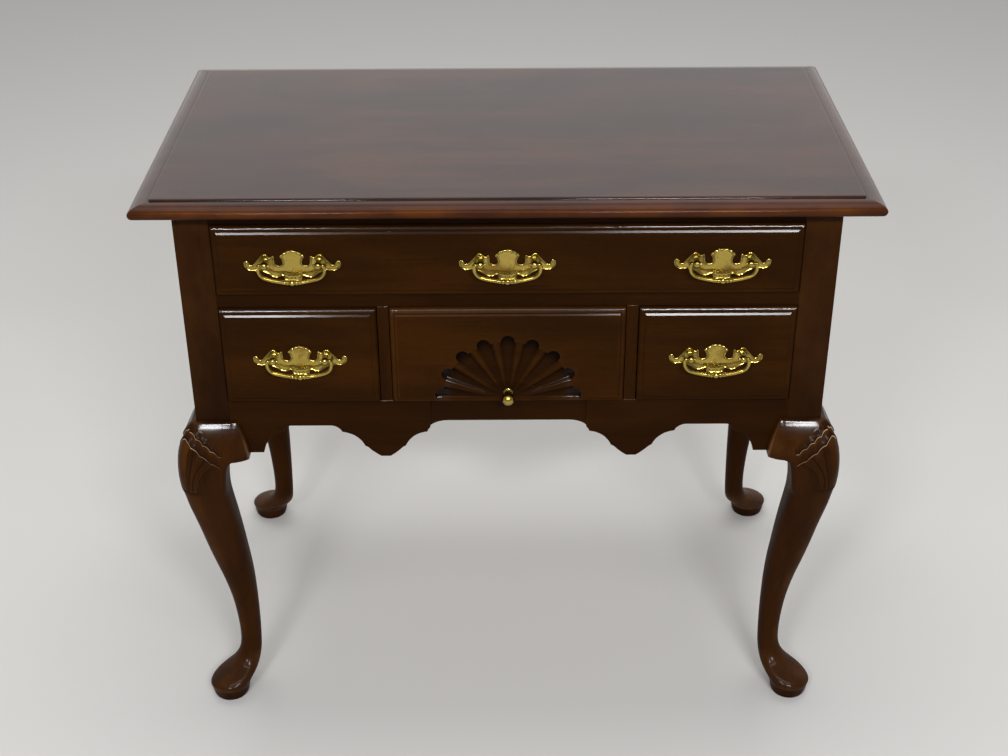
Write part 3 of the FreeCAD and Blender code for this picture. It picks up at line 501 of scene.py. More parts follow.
def wood(name, pale, deep, rubbed_and_highlight, rough, contrast, wear_amount, pore_relief):
    """Wood with its figure, its age, and painted light and shade: the material, its tree and its shader."""
    material, tree, shader = empty_material(name, pale)
    grain = attribute(tree, "grain", "Vector")
    figure = add_node(tree, "ShaderNodeGroup", node_tree=WOOD_FIGURE)
    feed(tree, figure, {"Grain": grain, "Pale": pale, "Deep": deep, "Contrast": contrast})
    age = add_node(tree, "ShaderNodeGroup", node_tree=WOOD_AGE_AND_LIGHT)
    feed(tree, age, {"Color": figure.outputs["Color"], "Grain": grain, "Wear and highlight": attribute(tree, "wear_and_highlight"),
                     "Hollow": attribute(tree, "hollow"), "Rubbed and highlight color": rubbed_and_highlight,
                     "Wear amount": wear_amount, "Roughness": rough})
    feed(tree, shader, {"Base Color": age.outputs["Color"], "Roughness": age.outputs["Roughness"],
                        "Normal": bump(tree, figure.outputs["Height"], *pore_relief)})
    return material, tree, shader


def polished_wood(name, pale, deep, rubbed_and_highlight, rough, coat, edge_coat, coat_rough=0.13, contrast=0.7,
                  wear_amount=0.6):
    """Cabinet wood under a clear polish that differs on its moulded edges."""
    material, tree, shader = wood(name, pale, deep, rubbed_and_highlight, rough, contrast, wear_amount, (0.25, 0.0001))
    feed(tree, shader, {"Coat Weight": ranged(tree, attribute(tree, "moulded"), 0.0, 1.0, coat, edge_coat),
                        "Coat Roughness": coat_rough, "Specular IOR Level": 0.02})
    return material


def bare_wood(name, pale, deep, rough):
    """Unpolished wood of the inside of the case and of the drawers."""
    rubbed_and_highlight = (pale[0] * 0.7, pale[1] * 0.62, pale[2] * 0.5)
    return wood(name, pale, deep, rubbed_and_highlight, rough, 0.6, 0.5, (0.5, 0.00015))[0]


def old_metal(name, bright, aged, dull, lacquer=0.0):
    """Cast and turned metal with its age on it, under a clear lacquer where it has one."""
    material, tree, shader = empty_material(
        name, bright, {"Metallic": 1.0, "Coat Weight": lacquer, "Coat Roughness": 0.1})
    age = add_node(tree, "ShaderNodeGroup", node_tree=METAL_AGE)
    place = add_node(tree, "ShaderNodeTexCoord").outputs["Object"]
    feed(tree, age, {"Position": place, "Wear and highlight": attribute(tree, "wear_and_highlight"),
                     "Hollow": attribute(tree, "hollow"), "Bright": bright, "Aged": aged, "Dull": dull})
    feed(tree, shader, {"Base Color": age.outputs["Color"], "Roughness": age.outputs["Roughness"],
                        "Normal": bump(tree, age.outputs["Height"], 0.2, 0.00008)})
    return material


# the hollows' dark colour is grime in some places and painted shade in others
PORE_COLOUR, GRIME_AND_SHADE_COLOUR = (0.003, 0.001, 0.0006), (0.003, 0.001, 0.0005)
# the pale colour is a painted highlight on the knees' scalloped edges
PAINTED_HIGHLIGHT_COLOUR, RUBBED_CASE = (0.62, 0.47, 0.3), (0.075, 0.025, 0.004)
WOOD_FIGURE = wood_figure_group()
WOOD_AGE_AND_LIGHT = age_and_painted_light_group()
METAL_AGE = metal_age_group()

TOP_WOOD = polished_wood("top_wood", (0.046, 0.0125, 0.0048), (0.017, 0.0043, 0.0016),
                         (0.085, 0.023, 0.0025), 0.36, 1.0, 0.12, coat_rough=0.11, contrast=0.85,
                         wear_amount=0.85)
CASE_WOOD = polished_wood("case_wood", (0.025, 0.0078, 0.0008), (0.0115, 0.0034, 0.0003),
                          RUBBED_CASE, 0.45, 0.02, 0.8)
FRONT_WOOD = polished_wood("front_wood", (0.034, 0.0108, 0.0008), (0.0155, 0.0046, 0.0004),
                           RUBBED_CASE, 0.45, 0.02, 0.9)
# the legs' rubbed colour also paints highlights on the knees, the knee blocks and the feet
LEG_WOOD = polished_wood("leg_wood", (0.034, 0.0106, 0.0015), (0.016, 0.0047, 0.0007),
                         (0.13, 0.047, 0.01), 0.42, 0.03, 0.5, coat_rough=0.16, wear_amount=0.85)
INNER_WOOD = bare_wood("inner_wood", (0.52, 0.36, 0.2), (0.36, 0.22, 0.11), 0.62)
BACK_WOOD = bare_wood("back_wood", (0.25, 0.145, 0.072), (0.16, 0.09, 0.043), 0.68)
BRASS = old_metal("brass", (0.4, 0.29, 0.05), (0.24, 0.135, 0.015), (0.035, 0.022, 0.004), 0.4)
STEEL = old_metal("steel", (0.5, 0.49, 0.47), (0.3, 0.26, 0.22), (0.14, 0.11, 0.09))


# ---------------------------------------------------------------- top board

STEP_INSET, STEP_FALL = 22.0, 2.4
QUIRK_INSET = 19.5
NOSE_FALL, TOP_THICKNESS = 11.0, 18.0
UNDER_INSET = 5.0
MITRE_ROUND = 1.6
NOSE_STEPS, UNDER_STEPS = 16, 12


def top_edge_profile():
    """(inset, fall, wear, hollow) from the flat of the top, over the moulded edge, to the underside; the
    hollow is painted shade in the quirk and under the top.
    """
    rows = [(STEP_INSET + 3.0, 0.0, 0.0, 0.0), (STEP_INSET + 0.7, 0.0, 0.2, 0.0),
            (STEP_INSET + 0.2, 0.15, 0.9, 0.0), (STEP_INSET, 0.6, 0.7, 0.0),
            (STEP_INSET, STEP_FALL - 0.5, 0.0, 0.6), (STEP_INSET - 0.3, STEP_FALL - 0.05, 0.0, 1.0),
            (QUIRK_INSET + 0.6, STEP_FALL, 0.0, 1.0)]
    for k in range(NOSE_STEPS + 1):
        angle = math.pi / 2 * k / NOSE_STEPS
        rows.append((QUIRK_INSET * (1 - math.sin(angle)),
                     NOSE_FALL - (NOSE_FALL - STEP_FALL) * math.cos(angle),
                     0.25 + 0.75 * smooth_step(0.25, 0.9, k / NOSE_STEPS), 0.7 * (k < 1)))
    for k in range(1, UNDER_STEPS + 1):
        angle = math.pi / 2 * k / UNDER_STEPS
        rows.append((UNDER_INSET * (1 - math.cos(angle)),
                     NOSE_FALL + (TOP_THICKNESS - NOSE_FALL) * math.sin(angle), 1.0 - 0.08 * k, 0.0))
    rows.append((UNDER_INSET + 1.0, TOP_THICKNESS, 0.0, 0.2))
    return rows


def rounded_rectangle(low, high, height, round_off, steps=5):
    """A level closed loop with its corners rounded."""
    loop = []
    for right, back, start in ((1, 1, 0.0), (0, 1, 90.0), (0, 0, 180.0), (1, 0, 270.0)):
        x = high[0] - round_off if right else low[0] + round_off
        y = high[1] - round_off if back else low[1] + round_off
        for k in range(steps + 1):
            angle = math.radians(start + 90.0 * k / steps)
            loop.append((x + round_off * math.cos(angle), y + round_off * math.sin(angle), height))
    return loop


def worn_front(mesh):
    """1 on the faces of the moulded front edge, where hands have thinned the polish."""
    worn = []
    for face in mesh.polygons:
        fall = HEIGHT - face.center.z / MM
        faces_front = face.normal.y < -abs(face.normal.x) and face.center.y < 0.0
        worn.append(float(faces_front) * smooth_step(STEP_FALL - 0.4, STEP_FALL + 2.0, fall))
    return worn


def build_top_board():
    """The top with its moulded edge, as rings from its flat down to its underside."""
    loops, wear_and_highlight, hollow = [], [], []
    for inset, fall, worn, darkening in top_edge_profile():
        loop = rounded_rectangle((TOP_LEFT + inset, TOP_FRONT + inset),
                                 (TOP_RIGHT - inset, TOP_BACK - inset), HEIGHT - fall, MITRE_ROUND)
        loops.append(loop)
        wear_and_highlight += [worn] * len(loop)
        # painted shade in the quirk under the step and on the underside
        hollow += [darkening] * len(loop)
    piece = mesh_piece("top_board_moulded", *closed_loft(loops), "case", ["top_board"], TOP_WOOD,
                       smooth=40.0, grain="flat", wear_and_highlight=wear_and_highlight, hollow=hollow)
    piece.data.attributes.remove(piece.data.attributes["moulded"])
    spread(piece.data, "moulded", face_values=worn_front(piece.data))


# ---------------------------------------------------------------- legs

# height, out past the case corner, in from it, squareness
LEG_ROWS = [
    (449.0, 0.5, 41.0, 6.0), (449.0, 5.7, 41.0, 5.5), (448.9, 6.2, 41.0, 5.2), (448.6, 6.6, 41.0, 5.0),
    (447.8, 7.2, 41.0, 5.0), (446.0, 8.4, 41.0, 5.0), (443.0, 10.4, 41.0, 5.0), (438.0, 13.4, 41.0, 5.0),
    (430.0, 17.6, 41.0, 4.8), (420.0, 21.6, 40.8, 4.6),
    (410.0, 24.8, 40.2, 4.3), (400.0, 26.6, 38.4, 4.0), (391.0, 27.4, 36.3, 3.8), (382.0, 27.7, 34.6, 3.6),
    (370.0, 27.4, 33.1, 3.4), (360.0, 26.6, 32.4, 3.3),
    (343.0, 24.2, 32.5, 3.15), (325.0, 21.4, 34.3, 3.0), (305.0, 17.4, 36.8, 2.9), (285.0, 13.4, 39.1, 2.8),
    (262.0, 9.2, 41.4, 2.7), (240.0, 4.9, 43.3, 2.6),
    (215.0, -0.4, 45.5, 2.5), (192.0, -5.6, 46.8, 2.4), (170.0, -10.0, 47.4, 2.35),
    (150.0, -13.3, 47.6, 2.3), (130.0, -15.7, 47.6, 2.25), (112.0, -17.2, 47.4, 2.2),
    (96.0, -18.1, 47.1, 2.15), (82.0, -18.3, 46.7, 2.1),
    (71.0, -17.9, 46.3, 2.05), (62.0, -16.6, 45.8, 2.0), (55.5, -14.6, 45.2, 2.0), (50.0, -11.8, 44.5, 2.0),
    (45.0, -7.6, 43.6, 2.0), (41.0, -3.2, 42.6, 2.0), (37.5, 2.4, 41.4, 2.0), (34.0, 8.6, 39.8, 2.0),
    (30.5, 14.6, 37.6, 2.0), (27.0, 19.4, 35.2, 2.0), (23.5, 22.9, 32.6, 2.0), (21.2, 24.3, 31.1, 2.0),
    (19.8, 24.7, 30.6, 2.0), (18.6, 24.5, 30.4, 2.0), (17.0, 23.9, 29.9, 2.0), (12.0, 22.9, 28.9, 2.0),
    (6.0, 21.6, 27.6, 2.0), (1.8, 20.2, 26.2, 2.0), (0.4, 19.1, 25.1, 2.0), (0.0, 18.0, 24.0, 2.0)]
# the skin's spacing down the leg, and how far down its knee and its shank end
KNEE_STEP, KNEE_RUN, SHANK_STEP, SHANK_RUN, FOOT_STEP = 0.55, 118.0, 3.6, 400.0, 1.1
# in degrees round the leg: the spacing where it is carved and where it isn't, where the carved part
# begins and ends, and where the skin begins, turns inwards and ends
CARVED_TURN, PLAIN_TURN, INNER_TURN = 0.62, 2.6, 4.0
CARVED_FROM, CARVED_TO = -62.0, 152.0
SKIN_FROM, SKIN_INNER, SKIN_TO = -100.0, 190.0, 260.0
POST_SQUARENESS = 60
KNEE_LOW, KNEE_FULL = 342.0, 380.0
WING_CORNER, WING_EASE = 12.0, 2.2
# height: how far the knee stands proud where the wing meets the post, and at the wing's far end
JOINT_ROWS = [(340.0, 12.0), (380.0, 19.0), (399.0, 22.9), (412.0, 21.5), (427.0, 17.6), (438.0, 12.6),
              (443.0, 9.9), (446.0, 8.0), (447.8, 6.9), (448.6, 6.35), (448.9, 6.0), (449.0, 5.4)]
TIP_ROWS = [(380.0, 9.4), (400.0, 11.0), (412.0, 10.7), (425.4, 9.7), (438.0, 8.1), (443.0, 6.8),
            (446.0, 5.7), (447.8, 4.8), (448.6, 4.4), (448.9, 4.0), (449.0, 3.2)]
WING_TOP_LENGTH, WING_TIP_LENGTH, WING_BOTTOM = 8.5, 21.0, 398.0
WING_RISE, COVE_WIDTH, COVE_FALL = 2.2, 10.0, 9.0
WING_START, WING_BACK, WING_ROWS_FROM, COVE_START = 31.0, -18.0, 372.0, 36.5
# how far the wing lies under the knee where they meet, how wide and how deep its far end turns in,
# and how its length grows downwards
WING_TUCK, WING_ROUND, WING_TURN_IN, WING_SPREAD = 0.12, 1.4, 1.3, 1.8
WING_COLUMNS, WING_END_COLUMNS = 44, 5


def leg_spacing(total):
    """Distances down the leg's front: close over the carved knee and the foot, wider between."""
    at, steps = 0.0, [0.0]
    while at < total:
        at += KNEE_STEP if at < KNEE_RUN else SHANK_STEP if at < SHANK_RUN else FOOT_STEP
        steps.append(min(at, total))
    return np.array(steps)


def leg_angles():
    """Directions round the leg, close over the carved faces and round the outer corner."""
    marks = [SKIN_FROM]
    while marks[-1] < SKIN_INNER:
        marks.append(marks[-1] + (CARVED_TURN if CARVED_FROM < marks[-1] < CARVED_TO else PLAIN_TURN))
    return np.radians(sorted({*marks, *np.arange(SKIN_INNER, SKIN_TO, INNER_TURN)}))


def leg_rings():
    """Rings down the leg: how far each stands out, its height, how far it reaches in, its squareness."""
    rows = curve_through([(out, height, inward, square) for height, out, inward, square in LEG_ROWS],
                         leg_spacing)
    out, height, inward, square = rows.T
    return out, np.clip(height, 0.0, KNEE_TOP), inward, square


def leg_surface(wings):
    """The leg's skin without carving, over rows and angles: a and b outward, z up; and the angles."""
    out, height, inward, square = leg_rings()
    angle = leg_angles()
    half = ((out + inward) / 2)[:, None]
    middle = ((inward - out) / 2)[:, None]
    knee = smooth_step(KNEE_LOW, KNEE_FULL, height)[:, None]
    cos, sin = np.cos(angle)[None, :], np.sin(angle)[None, :]
    power = np.repeat(square[:, None], len(angle), axis=1)
    for wing, (first, second) in zip(wings, ((-1, 1), (1, -1))):
        if wing:
            inner = (np.sign(cos) == first) & (np.sign(sin) == second)
            power = np.where(inner, power + knee * (WING_CORNER - power), power)
    both = (np.abs(cos) ** power + np.abs(sin) ** power) ** (1 / power)
    a, b = half / both * cos, half / both * sin
    fall = np.maximum(out - row_value(JOINT_ROWS, height), 0.0)[:, None] * knee
    reach = POST - middle
    if wings[0]:
        b = b - fall * np.clip(-a / reach, 0, 1) ** WING_EASE * np.clip(b / half, 0, 1)
    if wings[1]:
        a = a - fall * np.clip(-b / reach, 0, 1) ** WING_EASE * np.clip(a / half, 0, 1)
    return a - middle, b - middle, np.repeat(height[:, None], len(angle), axis=1), angle


# the carved knee: where its petals meet (height, distance from the corner), the last one its border
PETAL_LINES = [
    [(350.0, -8.0), (357.0, -7.2), (404.5, -16.3), (430.0, -17.0)],
    [(357.0, 7.2), (364.0, 8.8), (376.5, 11.8), (391.0, 14.8), (404.5, 16.3), (430.0, 17.0)],
    [(357.0, 13.0), (364.0, 13.6), (376.0, 15.9), (387.5, 20.4), (396.0, 25.5), (403.0, 30.2), (410.0, 35.3),
     (420.0, 37.0)],
    [(356.0, 17.0), (358.0, 18.6), (361.0, 19.6), (369.0, 22.0), (377.0, 24.7), (385.0, 29.0), (389.5, 34.0),
     (394.0, 39.0), (399.5, 46.0), (404.0, 54.0), (409.0, 62.0)]]
PETAL_TIP = 357.5
PETAL_GROOVE, LEDGE, GROUND_FALL, GROUND_RUN = 1.15, 1.5, 0.95, 9.0
# each row of scallops: height at the corner, slope, start and pitch
UPPER_SCALLOPS, LOWER_SCALLOPS = (441.0, 0.64, 2.5, 11.5), (430.0, 0.72, -2.5, 14.0)
SCALLOP_RISE = 2.1
CARVING_END, CARVING_FADE, LEDGE_ROUND, BORDER_LEAN = 55.0, 10.0, 0.45, 0.78
# painted highlight on the scallops' edges, given as wear past 1: strength, height over the edge, width
LEDGE_PAINTED_HIGHLIGHT = (2.3, -0.5, 0.65)
# bands of height with a painted highlight in the rubbed colour and with a shine: strength, from, full from,
# full to, to
KNEE_PAINTED_HIGHLIGHT, FOOT_PAINTED_HIGHLIGHT = (0.34, 396.0, 414.0, 430.0, 446.0), (0.5, 21.0, 27.0, 44.0, 62.0)
KNEE_SHINE, FOOT_SHINE = (1.0, 426.0, 446.0, 449.5, 450.5), (0.35, 8.0, 20.0, 40.0, 70.0)
CARVED_BAND = (1.0, 345.0, 348.0, 446.5, 449.0)
# other marks: wear on the outer corner and round the foot's rim (strength, height, width), and a darker
# colour from the floor up (strength, top)
CORNER_WEAR, RIM_WEAR = 0.35, (0.9, 20.0, 2.2)
FLOOR_DARKENING, FLOOR_DARKENING_TOP = 0.5, 9.0
# the marks of the post's three rings; its painted shade deepens down the post to the crease over the knee
POST_WEAR, POST_SHADE, POST_SHINE = (0.2, 0.2, 0.2), (0.0, 0.6, 0.9), (0.0, 0.0, 0.0)
# how deep a cut clears the wear, and how far above the scallops the shine comes in
CUT_CLEARS, SHINE_FROM, SHINE_FULL = 0.05, 4.0, 14.0
# carved marks: rounds of blur, then gain and share of the wear on the high parts, of the darkening in the
# low parts, and of the darkening by depth alone
BLUR_ROUNDS, HIGH_GAIN = 7, 3.2
LOW_GAIN, LOW_SHARE, DEEP_GAIN, DEEP_SHARE = 3.0, 0.8, 2.0, 0.18
LEG_SEED = 40


def scalloped_line(across, line, slope, start, pitch):
    """The height of a row of scallops that runs down from the knee's corner."""
    return line - slope * across + SCALLOP_RISE * np.abs(np.sin(np.pi * (across - start) / pitch)) ** 0.8


def petals(across, height):
    """Rounded petals with grooves between them, and the ground cut back beside the last one."""
    lines = [row_value(rows, height) for rows in PETAL_LINES]
    depth = np.zeros_like(across)
    for inner, outer in zip(lines[:-1], lines[1:]):
        share = np.clip((across - inner) / np.maximum(outer - inner, 0.5), 0.0, 1.0)
        inside = (across >= inner) & (across < outer)
        depth = np.where(inside, -PETAL_GROOVE * np.abs(2 * share - 1) ** 5, depth)
    outside = (across - lines[-1]) * BORDER_LEAN
    ground = -GROUND_FALL * (1 - smooth_step(0.0, GROUND_RUN, outside))
    rim = smooth_step(0.0, 0.8, outside)
    depth = np.where(outside > 0.0, (1 - rim) * -PETAL_GROOVE + rim * ground, depth)
    below = PETAL_TIP - height
    end = smooth_step(-0.6, 0.4, below)
    fade = -GROUND_FALL * (1 - smooth_step(0.0, GROUND_RUN, below)) * smooth_step(12.0, 0.0, outside)
    return depth * (1 - end) + fade * end


def carving(across, height):
    """How deep the knee's carving lies, in millimetres, at a distance from the corner and a height."""
    upper = scalloped_line(across, *UPPER_SCALLOPS)
    lower = scalloped_line(across, *LOWER_SCALLOPS)
    ground = -LEDGE * (1 - smooth_step(0.0, GROUND_RUN, height - upper))
    in_band = np.clip((upper - height) / np.maximum(upper - lower, 1.0), 0, 1)
    band = -LEDGE * smooth_step(0.25, 1.0, in_band)
    over_upper = smooth_step(-LEDGE_ROUND, LEDGE_ROUND, height - upper)
    over_lower = smooth_step(-LEDGE_ROUND, LEDGE_ROUND, height - lower)
    low = over_lower * band + (1 - over_lower) * petals(across, height)
    depth = over_upper * ground + (1 - over_upper) * low
    edge = smooth_step(CARVING_END - CARVING_FADE, CARVING_END, across)
    return depth * (1 - edge) * rise_and_fall(height, *CARVED_BAND)


def skin_normals(a, b, z):
    """A skin's points, laid out in rows down and columns round, and its outward directions."""
    p = np.stack([a, b, z], axis=-1)
    normal = np.cross(np.gradient(p, axis=1), np.gradient(p, axis=0))
    return p, normal / np.maximum(np.linalg.norm(normal, axis=-1, keepdims=True), 1e-9)


def corner_distance(a, b, angle):
    """Distance round each ring from the outer corner, the same to both sides."""
    run = np.hypot(np.diff(a, axis=1), np.diff(b, axis=1))
    total = np.concatenate([np.zeros((len(a), 1)), np.cumsum(run, axis=1)], axis=1)
    corner = np.argmin(np.abs(angle - math.pi / 4))
    return np.abs(total - total[:, corner:corner + 1])


def ledge_painted_highlight(across, height):
    """A painted highlight along the two scalloped edges, given as wear past 1 so that they turn pale."""
    near = [bell(height - scalloped_line(across, *row), *LEDGE_PAINTED_HIGHLIGHT)
            for row in (UPPER_SCALLOPS, LOWER_SCALLOPS)]
    return np.maximum(*near) * smooth_step(CARVING_END, CARVING_END - CARVING_FADE / 2, across)


def rise_and_fall(height, strength, low, full_from, full_to, high):
    """A value that comes in and goes out again with the height."""
    return strength * smooth_step(low, full_from, height) * smooth_step(high, full_to, height)


def knee_and_foot_painted_highlight(height):
    """A painted highlight in the rubbed colour on the broad middle of the knee and on the foot's top."""
    return np.maximum(rise_and_fall(height, *KNEE_PAINTED_HIGHLIGHT), rise_and_fall(height, *FOOT_PAINTED_HIGHLIGHT))


def polish(height):
    """How much the upper slope of the knee and the top of the foot shine."""
    return np.maximum(rise_and_fall(height, *KNEE_SHINE), rise_and_fall(height, *FOOT_SHINE))


def carved_marks(depth):
    """Wear on the high parts and a darker colour in the low parts of a carved skin."""
    blur = depth.copy()
    for _ in range(BLUR_ROUNDS):
        blur = (blur + np.roll(blur, 1, 0) + np.roll(blur, -1, 0)
                + np.roll(blur, 1, 1) + np.roll(blur, -1, 1)) / 5
    relief = depth - blur
    darkening = LOW_SHARE * np.clip(-relief * LOW_GAIN, 0, 1) + DEEP_SHARE * np.clip(-depth * DEEP_GAIN, 0, 1)
    return np.clip(relief * HIGH_GAIN, 0, 1), darkening


def leg_piece(name, points, faces, side, back, wear_and_highlight, hollow, moulded):
    """A leg or a knee block, on its corner of the case."""
    mesh_piece(name + "_shaped", on_corner(points, side, back), faces, "case", [name], LEG_WOOD,
               smooth=32.0, grain="z", wear_and_highlight=wear_and_highlight, hollow=hollow, moulded=moulded,
               seed=LEG_SEED + 2 * side + back)


def post_rings(angle):
    """The square post over the knee, as three rings from its top down."""
    cos, sin = np.cos(angle), np.sin(angle)
    both = (np.abs(cos) ** POST_SQUARENESS + np.abs(sin) ** POST_SQUARENESS) ** (1 / POST_SQUARENESS)
    square = POST / 2 / both
    return [np.stack([square * cos - POST / 2, square * sin - POST / 2, np.full_like(angle, height)],
                     axis=-1)
            for height in (CASE_TOP, KNEE_TOP + 1.0, KNEE_TOP)]


def build_leg(name, side, back, wings, carved):
    """A leg with its corner post, its knee and its foot; wings says which sides a block stands on."""
    a, b, z, angle = leg_surface(wings)
    p, normal = skin_normals(a, b, z)
    wear_and_highlight = CORNER_WEAR * smooth_step(0.75, 1.0, np.cos(angle - math.pi / 4))[None, :]
    # wear on the corner and the foot's rim, and the painted highlight on the knee and the foot
    wear_and_highlight = np.maximum(np.maximum(wear_and_highlight, bell(z, *RIM_WEAR)), knee_and_foot_painted_highlight(z))
    moulded = polish(z)
    hollow = FLOOR_DARKENING * smooth_step(FLOOR_DARKENING_TOP, 0.0, z)
    if carved:
        across = corner_distance(a, b, angle)
        depth = carving(across, z)
        p = p + normal * depth[..., None]
        high, low = carved_marks(depth)
        # the scallops' edges get their painted highlight
        high = np.maximum(high, ledge_painted_highlight(across, z))
        wear_and_highlight, hollow = np.maximum(wear_and_highlight * (depth > -CUT_CLEARS), high), np.maximum(hollow, low)
        over = z - scalloped_line(across, *UPPER_SCALLOPS)
        moulded = moulded * np.where(z > PETAL_TIP, smooth_step(SHINE_FROM, SHINE_FULL, over), 1.0)
    marks = [np.concatenate([np.outer(on_post, np.ones(len(angle))), on_skin]) for on_post, on_skin in (
        (POST_WEAR, wear_and_highlight), (POST_SHADE, hollow), (POST_SHINE, moulded))]
    leg_piece(name, *closed_loft(np.concatenate([post_rings(angle), p])), side, back, *marks)


def on_corner(points, side, back):
    """Points given outward from a case corner, put on that corner of the case."""
    points = np.asarray(points)
    y = (CASE_BACK + points[..., 1]) if back else (CASE_FRONT - points[..., 1])
    return np.stack([side * (CASE_HALF + points[..., 0]), y, points[..., 2]], axis=-1)


def wing_skin():
    """The knee's face carried on past the post: (distance in from the corner, proud, height)."""
    out, height, inward, _ = leg_rings()
    used = height[height > WING_ROWS_FROM]
    drop = (KNEE_TOP - used) / (KNEE_TOP - used.min())
    u = np.concatenate([np.linspace(0, 0.94, WING_COLUMNS - WING_END_COLUMNS),
                        np.linspace(0.955, 1.0, WING_END_COLUMNS)])
    low = np.full(WING_COLUMNS, WING_BOTTOM)
    for _ in range(4):
        z = KNEE_TOP - drop[:, None] * (KNEE_TOP - low)[None, :]
        up = np.clip((z - WING_BOTTOM) / (KNEE_TOP - WING_BOTTOM), 0, 1)
        end = POST + WING_TOP_LENGTH + (WING_TIP_LENGTH - WING_TOP_LENGTH) * (1.0 - up ** WING_SPREAD)
        s = WING_START + u[None, :] * (end - WING_START)
        cove = np.clip((COVE_START + COVE_WIDTH - s[-1]) / COVE_WIDTH, 0.0, 1.0)
        rise = WING_RISE * np.clip((POST + WING_TIP_LENGTH - s[-1]) / WING_TIP_LENGTH, 0.0, 1.0)
        low = WING_BOTTOM + rise - COVE_FALL * round_in(cove)
    o, i = (np.interp(z, height[::-1], run[::-1]) for run in (out, inward))
    past = POST - (i - o) / 2
    joint, tip = row_value(JOINT_ROWS, z), row_value(TIP_ROWS, z)
    fall = np.maximum(o - joint, 0)
    share = np.clip((s - (i - o) / 2) / past, 0, 1)
    near = o - fall * share ** WING_EASE - WING_TUCK * smooth_step(WING_START + 8.0, WING_START, s)
    lean = -WING_EASE * fall / past * (end - POST)
    t = np.clip((s - POST) / np.maximum(end - POST, 0.1), 0, 1)
    far = joint + lean * t + (tip - joint - lean) * t ** 2
    over = np.clip((s - (end - WING_ROUND)) / WING_ROUND, 0, 1)
    proud = np.where(s <= POST, near, far) - WING_TURN_IN * round_in(over)
    return s, np.maximum(proud, 0.1), z


def build_wing(name, side, back, turned):
    """A knee block. Turned ones stand on the case's side."""
    s, proud, z = wing_skin()
    skin, back_skin = (np.stack([-s, out, z], axis=-1) for out in (proud, np.zeros_like(s)))
    shells = [closed_slab(skin, back_skin)]
    front = np.stack([np.stack([-s[-1], np.zeros_like(s[-1]), height], axis=-1)
                      for height in (np.full_like(s[-1], BRACKET_FOOT), z[-1])])
    shells.append(closed_slab(front, front + np.array([0.0, WING_BACK, 0.0])))
    points, faces = join_shells(shells)
    # the knee block's face gets the knee's painted highlight
    wear_and_highlight, moulded = knee_and_foot_painted_highlight(z), polish(z)
    # the far arris is in the rubbed colour, partly wear and partly a painted highlight
    wear_and_highlight[:, -4:] = 1.0
    moulded[:, -6:] = 1.0
    if turned:
        points = points[:, [1, 0, 2]]
    leg_piece(name, points, faces, side, back, wear_and_highlight, None, moulded)


def build_legs():
    """Four legs, the front two carved, and the six knee blocks beside them."""
    for side, label in ((-1, "left"), (1, "right")):
        build_leg("leg_front_" + label, side, False, (True, True), True)
        build_leg("leg_back_" + label, side, True, (False, True), False)
        build_wing("knee_block_front_" + label, side, False, False)
        build_wing("knee_block_side_front_" + label, side, False, True)
        build_wing("knee_block_side_back_" + label, side, True, True)


# ---------------------------------------------------------------- carved middle drawer front

FAN_HUB_HEIGHT = 483.0
FLUTES, FIRST_FLUTE, FLUTE_PITCH = 9, 5.5, 21.125
FAN_RADIUS, RIDGE_END = 91.0, 82.0
FLUTE_SHARE = 0.275
FLUTE_START, FLUTE_START_HALF, FLUTE_END_HALF = 13.0, 1.1, 8.3
FLUTE_START_DEPTH, FLUTE_END_DEPTH = 0.8, 6.8
RIDGE_DROP, RIDGE_SET_IN = 0.5, 1.2
DISH_RADIUS, DISH_DEPTH = 30.6, 2.6
SILL_TOP, SILL_DEPTH, SILL_HALF = 485.6, 4.0, 88.2
FRONT_HALF, FRONT_LOW, FRONT_HIGH = 143.5, 479.0, 610.0
FIELD_INSET = 8.9
# steps from the hub to the outline (first, last, count), and the rim past it (out, depth, wear)
FAN_STEPS = ((0.0, 0.9, 50), (0.914, 0.998, 9))
FAN_RIM = ((0.0, 0.12, 0.3), (0.25, 0.0, 0.9), (0.9, 0.0, 0.25))
FAN_WEAR, FAN_WORN_DEPTH, FAN_WORN_FROM = 0.6, 1.4, 0.3
# painted shade in the flutes: depth where it begins, depth over which it grows, its share, and the extra at
# the heads
FAN_SHADE_FROM, FAN_SHADE_REACH, FAN_SHADE_SHARE, FLUTE_HEAD_SHADE = 1.2, 3.2, 0.5, 0.65


def fan_share(degrees):
    """How far an angle lies from the middle of its flute: 0 there, 0.5 on the ridge."""
    at = (degrees - FIRST_FLUTE) / FLUTE_PITCH
    return np.abs(at - np.clip(np.round(at), 0, FLUTES - 1))


def fan_radius(degrees):
    """The scalloped outline: a round end on every flute, ridges stopping short of it."""
    q = np.minimum(fan_share(degrees) / FLUTE_SHARE, 1.0)
    return RIDGE_END + (FAN_RADIUS - RIDGE_END) * np.sqrt(1.0 - q ** 2)


